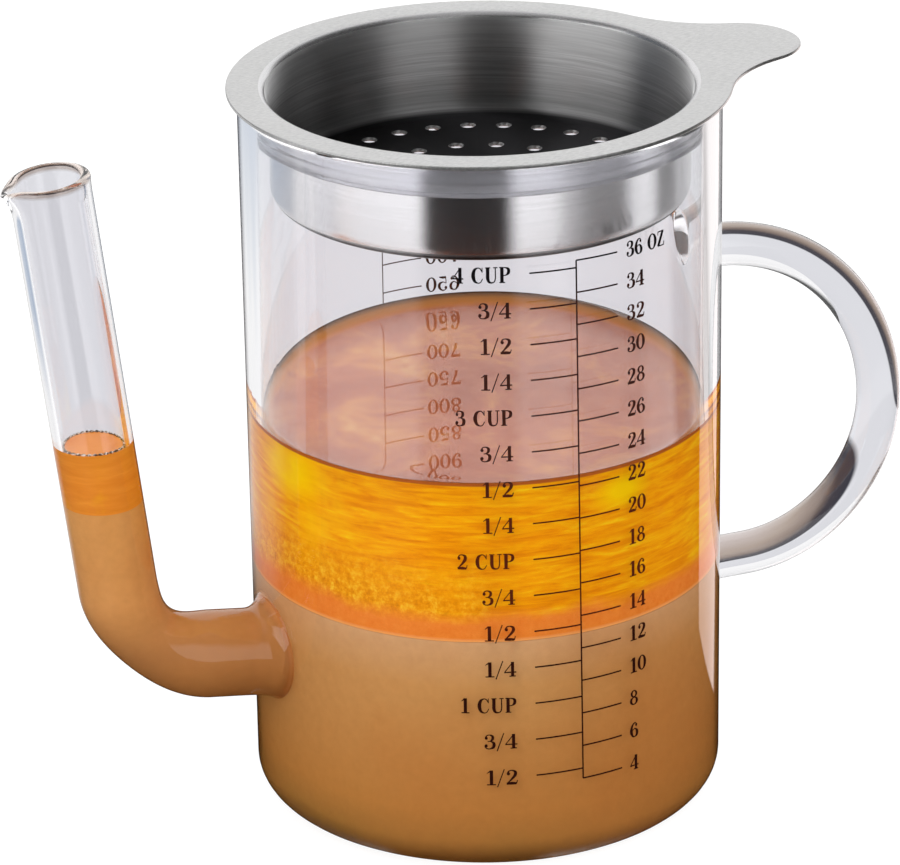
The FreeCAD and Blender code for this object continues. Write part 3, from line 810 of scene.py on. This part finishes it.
def strainer_mesh():
    """Pressed profile turned about Z, its flange stretched to the outline, its floor drilled."""
    inner = BOWL_RADIUS - SHEET
    profile = rounded([
        (0, BOWL_BOTTOM + SHEET, 0), (inner, BOWL_BOTTOM + SHEET, BOWL_CORNER - SHEET),
        (inner, FLANGE_TOP, FLANGE_BEND), (FLANGE_RADIUS, FLANGE_TOP, FLANGE_EDGE),
        (FLANGE_RADIUS, FLANGE_TOP - SHEET, FLANGE_EDGE),
        (BOWL_RADIUS, FLANGE_TOP - SHEET, FLANGE_BEND - SHEET),
        (BOWL_RADIUS, BOWL_BOTTOM, BOWL_CORNER), (0, BOWL_BOTTOM, 0)])
    across_tab = np.arange(-31, 31, 0.4)
    elsewhere = np.arange(31, 329, 1.25)
    angles = np.radians(np.concatenate([across_tab, elsewhere]))
    rows = turned(profile, angles)
    flat = inner + FLANGE_BEND
    share = np.clip((profile[:, 0, None] - flat) / (FLANGE_RADIUS - flat), 0, 1)
    stretch = share * (flange_edge(angles) - FLANGE_RADIUS)
    rows[..., 0] += stretch * np.cos(angles)
    rows[..., 1] += stretch * np.sin(angles)
    mesh = sound(surface("strainer", rows))

    around = evenly(28)
    circle = np.stack([np.cos(around), np.sin(around)], -1)
    drills = bmesh.new()
    for radius, count in HOLE_RINGS:
        for angle in evenly(count):
            middle = (radius * math.cos(angle), radius * math.sin(angle))
            rows = [np.column_stack([circle * HOLE_RADIUS * wide + middle, 0 * around + BOWL_BOTTOM + up])
                    for up, wide in HOLE_SECTION]
            drills.from_mesh(surface("drill", rows, caps=True))
    cutter = bpy.data.meshes.new("drills")
    drills.to_mesh(cutter)
    drills.free()
    face_outwards(cutter)
    return carved(mesh, cutter)


def finish_by_height(mesh):
    """Faces on the flange, above its bend and outside the bowl, take the second material."""
    edge = BOWL_RADIUS - SHEET + FLANGE_BEND - 0.6
    middles = np.empty(len(mesh.polygons) * 3)
    mesh.polygons.foreach_get("center", middles)
    middles = middles.reshape(-1, 3) / MM
    radius = np.hypot(middles[:, 0], middles[:, 1])
    flat = (radius > edge) & (middles[:, 2] > FLANGE_TOP - FLANGE_BEND)
    mesh.polygons.foreach_set("material_index", flat.astype(np.int32))


# ---- contents

def jug_gravy_mesh():
    """Gravy in the jug: the space below its level, turned about Z, biting into the glass."""
    wall = BORE_RADIUS + GLASS_BITE
    profile = rounded([(0, GRAVY_FOOT, 0), (wall, GRAVY_FOOT, INNER_CORNER), (wall, GRAVY_LEVEL, 0.2),
                       (0, GRAVY_LEVEL, 0)])
    return sound(surface("gravy", turned(profile, evenly(256))))


def spout_fill_mesh(name, low, high):
    """Contents of the spout between two levels; low None starts inside the jug."""
    angles = evenly(72)
    path = spout_path()
    length = upright_length()
    reach = np.array([-9.0, -1.2, 0.0, 1.2, 2.4, 3.6, 4.8])
    root = np.column_stack([
        FOOT_START[::2] + reach[:, None] * FOOT_AXIS[::2],
        np.full((len(reach), 2), (FOOT_TILT, FOOT_ACROSS))])
    upright = upright_rows(np.linspace(2, length, 48))
    stations = np.concatenate([root, path, upright])
    rows = rings(stations, stations[:, 3] / 2 - SPOUT_WALL + GLASS_BITE, angles)
    swell = (1 - np.clip(reach, 0, WELD_REACH) / WELD_REACH) ** 3
    rows[:len(reach)] += swell[:, None, None] * weld_lift(angles) * foot_ring(angles) * 0.8
    if low is not None:
        rows = cut_level(rows, low, False)
    rows = cut_level(rows, high, True)
    return sound(surface(name, rows, caps=True))


def slid(row, level):
    """A row of points moved along the upright until each lies at the level."""
    return row + UPRIGHT_AXIS * ((level - row[:, 2]) / UPRIGHT_AXIS[2])[:, None]


def cut_level(rows, level, top):
    """Keep the rows below a level (or above it), and end them in a level row on the same tube."""
    heights = rows[..., 2]
    if top:
        kept = rows[heights.max(axis=1) < level - 0.4]
        return np.concatenate([kept, slid(kept[-1], level)[None]])
    kept = rows[heights.min(axis=1) > level + 0.4]
    kept = kept[kept[:, :, 0].mean(axis=1) < BEND_MIDDLE[0] - BEND_RADIUS * 0.9]
    return np.concatenate([slid(kept[0], level)[None], kept])


def climb_line(drop):
    """Section of the surface near the wall: level + climb * exp(-distance from the wall / run)."""
    away = np.linspace(1, 0, 22) ** 1.6 * FAT_CLIMB_SPAN
    height = FAT_LEVEL - drop + FAT_CLIMB * np.exp(-away / FAT_CLIMB_RUN)
    return np.stack([BORE_RADIUS - away, height], -1)


def fat_mesh():
    """Fat between the gravy and its own skin, drawn up the wall with it."""
    wall = BORE_RADIUS + GLASS_BITE
    free = BORE_RADIUS - 0.06
    low = GRAVY_LEVEL + 0.02
    high = FAT_LEVEL + FAT_CLIMB - SKIN_DEPTH
    side = [(0, low), (wall, low), (wall, high), (free, high + 0.2)]
    climb = climb_line(SKIN_DEPTH)
    climb[:, 0] = np.minimum(climb[:, 0], free)
    profile = np.concatenate([side, climb[::-1], [(0, climb[0, 1])]])
    return sound(surface("fat", turned(profile, evenly(256))))


def bubble_ring_mesh():
    """Chain of bubbles round the fat in the spout: a ring whose thickness swells and pinches.

    Its middle line is where the leaning bore meets the level; its radius is
    BUBBLE * (0.2 + 0.8 * |sin(count * a / 2)|) at the angle a.
    """
    start = spout_path()[-1]
    middle = start[0] - (SPOUT_FAT_LEVEL - start[1]) * math.tan(LEAN)
    bore = UPRIGHT_ACROSS / 2 - SPOUT_WALL - BUBBLE
    turn = evenly(BUBBLES * 8)[:, None]
    around = evenly(10)
    thick = BUBBLE * (0.2 + 0.8 * np.abs(np.sin(BUBBLES * turn / 2)))
    out = bore + thick * np.cos(around)
    rows = np.stack([
        middle + out * np.cos(turn) / math.cos(LEAN), out * np.sin(turn),
        SPOUT_FAT_LEVEL + 0.1 + thick * np.sin(around)], -1)
    return sound(surface("bubbles", rows, loop=True), 60)


def fat_surface_mesh():
    """Thin skin on the fat, drawn up the glass where it meets it."""
    climb = climb_line(0.0)
    under = climb_line(FILM)[::-1]
    profile = np.concatenate([[(0, climb[0, 1])], climb, under, [(0, under[-1, 1])]])
    profile[:, 0] = np.minimum(profile[:, 0], BORE_RADIUS - 0.04)
    return sound(surface("fat_surface", turned(profile, evenly(256))))


# ---- printed scales

def curve(points, closed=False, steps=6):
    """Catmull-Rom curve through (x, y, width) points."""
    p = np.array(points, float)
    if closed:
        p = np.concatenate([p[-1:], p, p[:2]])
    else:
        p = np.concatenate([2 * p[:1] - p[1:2], p, 2 * p[-1:] - p[-2:-1]])
    t = np.arange(steps)[:, None] / steps
    a, b, c, d = p[:-3, None], p[1:-2, None], p[2:-1, None], p[3:, None]
    line = 2 * b + (c - a) * t + (2 * a - 5 * b + 4 * c - d) * t ** 2 + (3 * b - a - 3 * c + d) * t ** 3
    line = line.reshape(-1, 3) / 2
    return line if closed else np.concatenate([line, p[-2:-1]])


def bar(x0, y0, x1, y1, width):
    """Straight stroke."""
    return np.array([(x0, y0, width), (x1, y1, width)])


def taper(*points):
    """Straight strokes through (x, y, width) points."""
    return np.array(points)


def dot(x, y, radius):
    """Round terminal: a stroke whose width follows a circle."""
    t = np.linspace(-0.985, 0.985, 9)
    return np.stack([x + radius * t, y + 0 * t, 2 * radius * np.sqrt(1 - t ** 2)], -1)


def ring(x, y, half_wide, half_tall, thick, thin):
    """Closed oval, thick at its sides and thin at its top and bottom."""
    t = evenly(20)
    return np.stack([x + half_wide * np.cos(t), y + half_tall * np.sin(t),
                     thin + (thick - thin) * np.cos(t) ** 2], -1)


# Strokes of each sign: cap height 100, (strokes, closed strokes, advance).
SIX = [curve([(56, 84, 6), (44, 96, 6), (27, 88, 9), (15, 62, 15), (14, 34, 17), (25, 8, 10), (40, 3, 6),
       (56, 14, 14), (58, 37, 15), (45, 56, 7), (30, 54, 5), (20, 42, 4)]), dot(52, 81, 8)]
SIGNS = {
    "0": ([], [ring(36, 50, 24.5, 47, 17, 6)], 72),
    "1": ([bar(37, 2, 37, 100, 17), taper((13, 80, 3), (34, 97, 9)), bar(13, 3, 61, 3, 6)], [], 66),
    "2": ([curve([(12, 74, 9), (20, 91, 7), (36, 96, 6), (54, 86, 14), (54, 65, 16), (38, 40, 11),
          (12, 10, 5)]), dot(18, 74, 9), taper((8, 8, 12), (36, 9, 16), (60, 7, 12)),
          bar(60, 4, 66, 28, 5)], [], 72),
    "3": ([curve([(13, 76, 7), (22, 92, 6), (37, 96, 6), (52, 86, 13), (51, 66, 13), (38, 54.5, 5),
          (26, 53, 5)]), curve([(26, 53, 5), (42, 52, 5), (58, 40, 15), (56, 15, 15), (38, 3, 6),
          (20, 6, 6), (11, 20, 8)]), dot(18, 75, 8.5), dot(17, 23, 9)], [], 72),
    "4": ([bar(48, 2, 48, 98, 16), bar(50, 97, 5, 30, 5), bar(3, 29, 68, 29, 7), bar(31, 3, 65, 3, 6)], [],
          72),
    "5": ([bar(17, 94, 15, 50, 5), taper((15, 92, 12), (38, 91, 13), (58, 96, 5)), curve([(15, 50, 4),
          (34, 60, 6), (54, 50, 14), (58, 28, 16), (46, 8, 10), (28, 3, 6), (12, 16, 7)]),
          dot(17, 21, 8.5)], [], 72),
    "6": (SIX, [], 72),
    "7": ([bar(10, 91, 63, 91, 14), bar(9, 98, 7, 72, 5), curve([(61, 92, 5), (48, 66, 9), (36, 34, 14),
          (32, 2, 17)])], [], 72),
    "8": ([], [ring(36, 75.5, 18, 20.5, 12, 6), ring(36, 27.5, 23, 24, 15, 6)], 72),
    "9": ([stroke * (-1, -1, 1) + (72, 100, 0) for stroke in SIX], [], 72),
    "/": ([bar(3, -14, 40, 106, 5.5)], [], 44),
    "C": ([curve([(66, 72, 4), (56, 91, 6), (41, 97, 6), (21, 84, 14), (13, 50, 19), (21, 16, 14),
          (41, 3, 6), (58, 9, 5), (69, 30, 4)]), bar(67, 99, 67, 68, 4.5)], [], 80),
    "O": ([], [ring(42, 50, 30, 47, 18, 6)], 86),
    "P": ([bar(21, 2, 21, 98, 17), curve([(22, 95, 5), (42, 95, 6), (60, 85, 14), (60, 62, 15), (44, 48, 6),
          (22, 47, 5)]), bar(5, 3, 40, 3, 5.5), bar(5, 97, 26, 97, 5.5)], [], 78),
    "U": ([curve([(20, 97, 17), (20, 62, 17), (20, 32, 17), (27, 10, 13), (44, 3, 7), (60, 11, 6),
          (66, 34, 6), (66, 62, 6), (66, 97, 6)]), bar(5, 97, 36, 97, 5.5), bar(53, 97, 79, 97, 5.5)], [],
          84),
    "Z": ([bar(12, 95, 64, 95, 6), bar(56, 94, 14, 6, 16), bar(10, 5, 66, 5, 6), bar(12, 97, 10, 74, 4.5),
          bar(66, 3, 68, 28, 4.5)], [], 76),
    " ": ([], [], 42),
}

INK_PROUD = 0.035
INK_BITE = 0.02


def lettering(text, size, along, up, sheet, wide):
    """Add the strokes of a line of signs that starts at along, its middle at that height."""
    for sign in text:
        strokes, closed, advance = SIGNS[sign]
        for part, loops in ((strokes, False), (closed, True)):
            for stroke in part:
                flat = stroke / 100 * (size * wide, size, size * PRINT_BOLD)
                sheet.append((flat + (along, up - size / 2, 0), loops))
        along += advance / 100 * size * wide


def text_width(text, size, wide):
    """Length of a line of signs."""
    return sum(SIGNS[sign][2] for sign in text) / 100 * size * wide


def ink_mesh(name, sheet, angle_at):
    """Strokes of a flat sheet laid on the jug: (along, up) goes to (angle_at(along), up).

    Each stroke is a thin closed bar: its sides lie half its width either side of its line,
    its face stands INK_PROUD of the glass and its back bites INK_BITE into it.
    """
    points = []
    faces = []
    start = 0
    for stroke, closed in sheet:
        line = stroke[:, :2]
        if closed:
            way = np.roll(line, -1, axis=0) - np.roll(line, 1, axis=0)
        else:
            way = np.gradient(line, axis=0)
        way /= np.linalg.norm(way, axis=1, keepdims=True)
        side = np.stack([-way[:, 1], way[:, 0]], -1) * stroke[:, 2:3] / 2
        left = line + side
        right = line - side
        edges = np.stack([left, right, right, left], 1)
        depth = JUG_RADIUS + np.array([INK_PROUD, INK_PROUD, -INK_BITE, -INK_BITE])
        angle = angle_at(edges[..., 0])
        spots = np.stack([depth * np.cos(angle), depth * np.sin(angle), edges[..., 1]], -1)
        count = len(line)
        quads = grid_faces(count, 4, closed)
        if not closed:
            quads = np.concatenate([quads, [[3, 2, 1, 0]], [np.arange(count * 4 - 4, count * 4)]])
        points.append(spots.reshape(-1, 3))
        faces.append(quads + start)
        start += count * 4
    mesh = bpy.data.meshes.new(name)
    mesh.from_pydata((np.concatenate(points) * MM).tolist(), [], np.concatenate(faces).tolist())
    face_outwards(mesh)
    return mesh


def level_line(start, end, up, width):
    """A tick: a level stroke with enough points to follow the glass."""
    along = np.linspace(start, end, 9)
    return np.stack([along, up + 0 * along, width + 0 * along], -1)


CUP_QUARTERS = ("1/2", "3/4", "1 CUP", "1/4", "1/2", "3/4", "2 CUP", "1/4", "1/2", "3/4",
                "3 CUP", "1/4", "1/2", "3/4", "4 CUP")
FRONT_LINE = math.radians(-90.0)
BACK_LINE = math.radians(95.6)
LINE_WIDTH = 0.34
BACK_LINE_WIDTH = 0.26
BACK_TICK_WIDTH = 0.28
LABEL_SIZE = 3.5
BACK_LABEL_SIZE = 3.4
CUP_TICK = 10.0
CUP_LABEL_END = -13.7
OUNCE_TICK = 9.6
OUNCE_LABEL_START = 11.7
MILLILITRE_LABEL_END = -11.0
MILLILITRE_WIDE = 1.15
PRINT_BOLD = 1.2
PRINT_DRIFT = 1.0  # the print stands a little off plumb: this much to the right at its foot
PRINT_SPREAD = 0.045  # and its left half is this much wider there
CUP_FIRST = 22.7
CUP_STEP = 8.569
CUP_CLOSING = 0.0285  # the k-th tick stands k * k times this lower than even steps would put it
OUNCE_FIRST = 20.3
OUNCE_STEP = 7.789
OUNCE_CLOSING = 0.0244
MILLILITRE_STEP = 6.54
MILLILITRE_FIRST = 20.06


def front_scale():
    """Cups on the left of the upright line and ounces on its right."""
    sheet = []
    last = 16
    top = OUNCE_FIRST + last * OUNCE_STEP - last ** 2 * OUNCE_CLOSING
    sheet.append((bar(0, OUNCE_FIRST, 0, top, LINE_WIDTH), False))
    for k, label in enumerate(CUP_QUARTERS):
        up = CUP_FIRST + k * CUP_STEP - k ** 2 * CUP_CLOSING
        sheet.append((level_line(-CUP_TICK, 0, up, LINE_WIDTH), False))
        wide = 0.97 if "CUP" in label else 1.09
        start = CUP_LABEL_END - text_width(label, LABEL_SIZE, wide)
        lettering(label, LABEL_SIZE, start, up, sheet, wide)
    for k in range(last + 1):
        up = OUNCE_FIRST + k * OUNCE_STEP - k ** 2 * OUNCE_CLOSING
        sheet.append((level_line(0, OUNCE_TICK, up, LINE_WIDTH), False))
        label = str(4 + 2 * k) + (" OZ" if k == last else "")
        raised = up + 0.02 * (last - k)
        lettering(label, LABEL_SIZE, OUNCE_LABEL_START, raised, sheet, 0.9 if k == last else 0.99)
    for stroke, _ in sheet:
        low = (top - stroke[:, 1]) / (top - OUNCE_FIRST)
        stroke[:, 0] *= np.where(stroke[:, 0] < 0, 1 + PRINT_SPREAD * low, 1)
        stroke[:, 0] += PRINT_DRIFT * low
    return ink_mesh("front_scale", sheet, lambda along: FRONT_LINE + along / JUG_RADIUS)


def back_scale():
    """Millilitres beside an upright line, read from behind the jug."""
    sheet = []
    top = MILLILITRE_FIRST + 17 * MILLILITRE_STEP
    sheet.append((bar(0, MILLILITRE_FIRST, 0, top, BACK_LINE_WIDTH), False))
    for k in range(18):
        up = MILLILITRE_FIRST + k * MILLILITRE_STEP
        sheet.append((level_line(-CUP_TICK, 0, up, BACK_TICK_WIDTH), False))
        label = str(100 + 50 * k)
        start = MILLILITRE_LABEL_END - text_width(label, BACK_LABEL_SIZE, MILLILITRE_WIDE)
        lettering(label, BACK_LABEL_SIZE, start, up, sheet, MILLILITRE_WIDE)
    return ink_mesh("back_scale", sheet, lambda along: BACK_LINE + along / JUG_RADIUS)


# ---- studio

CAMERA_SIDE = math.radians(-112.0)  # bearing of the camera from the jug's axis

# Brightness by bearing from the camera's side, in degrees: (bearing, brightness or colour).
# The room: white back, bluish corner, wide soft box, dark gap behind the camera, narrow soft box
# and dark side.
ROOM_BANDS = (
    (-180, 0.52), (-150, 0.52), (-138, 0.06), (-112, (0.06, 0.065, 0.075, 1)),
    (-96, (0.10, 0.11, 0.125, 1)), (-91, 0.8), (-34, 1.25), (-29, 0.008), (10, 0.008), (13, 0.66),
    (48, 0.66), (57, 0.04), (138, 0.04), (150, 0.52), (180, 0.52))
# Where the room is dark overhead: everywhere but at its white back.
BACK_MASK = ((-180, 0), (-125, 0), (-115, 1), (115, 1), (125, 0), (180, 0))
# The floor as the metal behind the glass mirrors it.
METAL_FLOOR = (
    (-180, 0.5), (-116, 0.5), (-91, 0.65), (-32, 0.78), (-26, 0.0), (12, 0.0), (19, 0.78), (36, 0.72),
    (44, 0.40), (56, 0.20), (76, 0.15), (84, 0.72), (98, 0.72), (104, 0.04), (113, 0.05), (120, 0.45),
    (180, 0.5))
# Its far left carries a bluish shade, far enough out that only the strainer's wall mirrors it.
BLUE_CORNER = ((-180, 0), (-148, 0), (-140, 1), (-116, 1), (-107, 0), (180, 0))
BLUE_SHADE = (0.24, 0.28, 0.34, 1)
BLUE_FROM, BLUE_FULL = 0.25, 0.31
# The floor as the outside of the glass mirrors it: soft veils near both edges, dark at the edges.
GLASS_FLOOR = (
    (-180, 0.01), (-158, 0.01), (-146, 0.42), (-112, 0.30), (-100, 0.06), (-60, 0.05), (-40, 0.08),
    (-20, 0.02), (158, 0.01), (180, 0.01))
# The floor through the glass by distance from the axis, as a share of BENEATH_REACH metres.
BENEATH = ((0.0, (0.38, 0.27, 0.20)), (0.40, (0.60, 0.52, 0.49)), (0.56, (0.44, 0.35, 0.29)),
           (0.68, (0.25, 0.19, 0.16)), (0.77, (0.07, 0.06, 0.07)), (0.91, (0.05, 0.05, 0.065)),
           (0.96, (0.78, 0.785, 0.82)))
BENEATH_REACH = 0.2
# A pale card on the floor to the right, which the jug's outside mirrors as a narrow pointed veil.
CARD_TIP = (0.118, -0.012)
CARD_SPREAD = 0.28
CARD_START = 0.072
CARD_SLOPE = 0.96
FLOOR_HALF = 6.0

CAMERA_PLACE = (-0.3692, -0.9138, 0.5024)
CAMERA_LENS = 197.55
CAMERA_TURN = -21.57
CAMERA_TILT = 66.83
CAMERA_ROLL = -0.94


def by_bearing(tree, direction, stops):
    """Brightness by bearing from the camera's side: -180 to 180 degrees as 0 to 1 of a ramp."""
    x, y, _ = add(tree, "SeparateXYZ", {0: direction}).outputs
    bearing = sums(tree, "SUBTRACT", sums(tree, "ARCTAN2", y, x), CAMERA_SIDE)
    bearing = sums(tree, "WRAP", bearing, math.pi, -math.pi)
    share = sums(tree, "ADD", sums(tree, "DIVIDE", bearing, TURN), 0.5)
    return ramp(tree, share, *[
        ((degrees + 180) / 360, colour if isinstance(colour, tuple) else shade(colour))
        for degrees, colour in stops])


def lit(tree, colour, strength):
    """A surface that shines."""
    return add(tree, "Emission", {"Color": colour, "Strength": strength})


def once(tree, depth):
    """1 for light that has been through at least one such bounce, otherwise 0."""
    return sums(tree, "MINIMUM", add(tree, "LightPath").outputs[depth], 1.0)


def choice(tree, share, first, second):
    """Shader between first and second."""
    return add(tree, "MixShader", {0: share, 1: first, 2: second})


def studio_world():
    """White to the camera; to glass and metal a room with a white back, two soft boxes and dark gaps."""
    world = bpy.data.worlds.new("studio")
    bpy.context.scene.world = world
    world.use_nodes = True
    world.cycles.sampling_method = "NONE"
    tree = world.node_tree
    tree.nodes.clear()
    direction = add(tree, "TexCoord").outputs["Generated"]
    room = by_bearing(tree, direction, ROOM_BANDS)
    front = sums(tree, "GREATER_THAN", by_bearing(tree, direction, BACK_MASK), 0.5)
    z = add(tree, "SeparateXYZ", {0: direction}).outputs[2]
    room = mixed(tree, times(tree, run(tree, z, 0.55, 0.72), front), room, shade(0.03))
    room = mixed(tree, run(tree, z, 0.86, 0.96), room, shade(0.22))
    light = mixed(tree, once(tree, "Diffuse Depth"), room, shade(0.60))
    light = mixed(tree, add(tree, "LightPath").outputs["Is Camera Ray"], light, shade(0.5))
    finish(tree, add(tree, "Background", {"Color": light, "Strength": 2.0}), "OutputWorld")


def pale_floor():
    """Large pale floor: white to the camera, less the object's shadow; through glass it shows the BENEATH
    ramp.

    Glass and metal mirror their own floors, and light that a matt surface scattered meets a
    plain one.
    """
    material, tree = new_material("floor")
    place = place_in(tree)
    white = add(tree, "AddShader", {0: lit(tree, shade(1), 0.87),
                                    1: add(tree, "BsdfDiffuse", {"Color": shade(0.16)})})
    away = add(tree, "VectorMath", {0: place}, operation="LENGTH").outputs["Value"]
    beneath = ramp(tree, sums(tree, "DIVIDE", away, BENEATH_REACH), *BENEATH)
    distant = run(tree, away, BLUE_FROM, BLUE_FULL)
    blue = times(tree, distant, by_bearing(tree, place, BLUE_CORNER))
    metal = mixed(tree, blue, by_bearing(tree, place, METAL_FLOOR), BLUE_SHADE)
    veils = mixed(tree, run(tree, away, 0.11, 0.17), shade(0), by_bearing(tree, place, GLASS_FLOOR))
    x, y, _ = add(tree, "SeparateXYZ", {0: place}).outputs
    aside = sums(tree, "ABSOLUTE", sums(tree, "SUBTRACT", x, CARD_TIP[0]))
    beyond = sums(tree, "SUBTRACT", y, sums(tree, "MULTIPLY_ADD", aside, CARD_SPREAD, CARD_TIP[1]))
    past = sums(tree, "SUBTRACT", x, CARD_START)
    short = sums(tree, "MULTIPLY_ADD", past, CARD_SLOPE, times(tree, y, -1.0))
    card = times(tree, run(tree, beyond, 0.0, 0.002), run(tree, short, 0.0, 0.006))
    veils = mixed(tree, card, veils, (0.74, 0.65, 0.63, 1))
    crossed = once(tree, "Transmission Depth")
    direct = choice(tree, crossed, white, lit(tree, beneath, 1.0))
    mirror = choice(tree, crossed, lit(tree, veils, 2.0), lit(tree, metal, 2.0))
    seen = choice(tree, once(tree, "Glossy Depth"), direct, mirror)
    plain = add(tree, "BsdfDiffuse", {"Color": shade(0.45)})
    finish(tree, choice(tree, once(tree, "Diffuse Depth"), seen, plain))
    mesh = bpy.data.meshes.new("floor")
    half = FLOOR_HALF
    corners = [(-half, -half, 0), (half, -half, 0), (half, half, 0), (-half, half, 0)]
    mesh.from_pydata(corners, [], [(0, 1, 2, 3)])
    mesh.materials.append(material)
    linked("floor", mesh)


def soft_lamp(name, place, watts):
    """Square soft lamp aimed at the middle of the jug."""
    light = bpy.data.lights.new(name, "AREA")
    light.shape = "SQUARE"
    light.size = 1.2
    light.energy = watts
    lamp = linked(name, light)
    lamp.location = Vector(place)
    lamp.rotation_euler = (Vector((0, 0, 0.08)) - lamp.location).to_track_quat("-Z", "Y").to_euler()
    lamp.visible_glossy = False
    lamp.visible_transmission = False
    lamp.visible_camera = False


def studio_camera():
    """Camera on the jug's front left, looking down on it."""
    data = bpy.data.cameras.new("camera")
    data.sensor_fit = "HORIZONTAL"
    data.sensor_width = 36.0
    data.lens = CAMERA_LENS
    camera = linked("camera", data)
    turn = Matrix.Rotation(math.radians(CAMERA_TURN), 4, "Z")
    tilt = Matrix.Rotation(math.radians(CAMERA_TILT), 4, "X")
    roll = Matrix.Rotation(math.radians(CAMERA_ROLL), 4, "Z")
    camera.matrix_world = Matrix.Translation(CAMERA_PLACE) @ turn @ tilt @ roll
    bpy.context.scene.camera = camera


# ---- the object

GLASS = clear_glass()
INK = baked_ink()

piece("jug_glass", jug_mesh(), "jug", [GLASS], "glass_jug")
piece("spout_glass", spout_mesh(), "jug", [clear_glass(rim=True)], "glass_spout")
piece("handle_glass", handle_mesh(), "jug", [GLASS], "glass_handle")
piece("seal_ring", seal_mesh(), "seal", [milky_silicone()], "silicone_seal")
strainer = piece("strainer_steel", strainer_mesh(), "strainer",
                 [brushed_steel(), satin_steel()], "steel_strainer")
finish_by_height(strainer.data)
piece("gravy", jug_gravy_mesh(), "jug", [gravy_brown("gravy", JUG_BROWNS)])
piece("spout_gravy", spout_fill_mesh("spout_gravy", None, SPOUT_GRAVY_LEVEL), "jug",
      [gravy_brown("spout_gravy", SPOUT_BROWNS)])
piece("fat", fat_mesh(), "jug", [amber_fat("fat", JUG_AMBERS, ringed=True)])
piece("fat_top", fat_surface_mesh(), "jug", [fat_surface()])
spout_fat = piece("spout_fat", spout_fill_mesh("spout_fat", SPOUT_GRAVY_LEVEL, SPOUT_FAT_LEVEL),
                  "jug", [amber_fat("spout_fat", SPOUT_AMBERS), spout_skin()])
for face in spout_fat.data.polygons:
    face.material_index = int(face.normal.z > 0.95)
piece("spout_bubbles", bubble_ring_mesh(), "jug", [bubble_film()])
piece("front_scale", front_scale(), "jug", [INK])
piece("back_scale", back_scale(), "jug", [INK])

studio_world()
pale_floor()
soft_lamp("key", (-0.9, -1.0, 1.3), 16.0)
soft_lamp("fill", (1.2, -0.8, 0.9), 5.0)
soft_lamp("top", (0.1, 0.5, 1.7), 10.0)
studio_camera()
bpy.context.scene.view_settings.view_transform = "Standard"
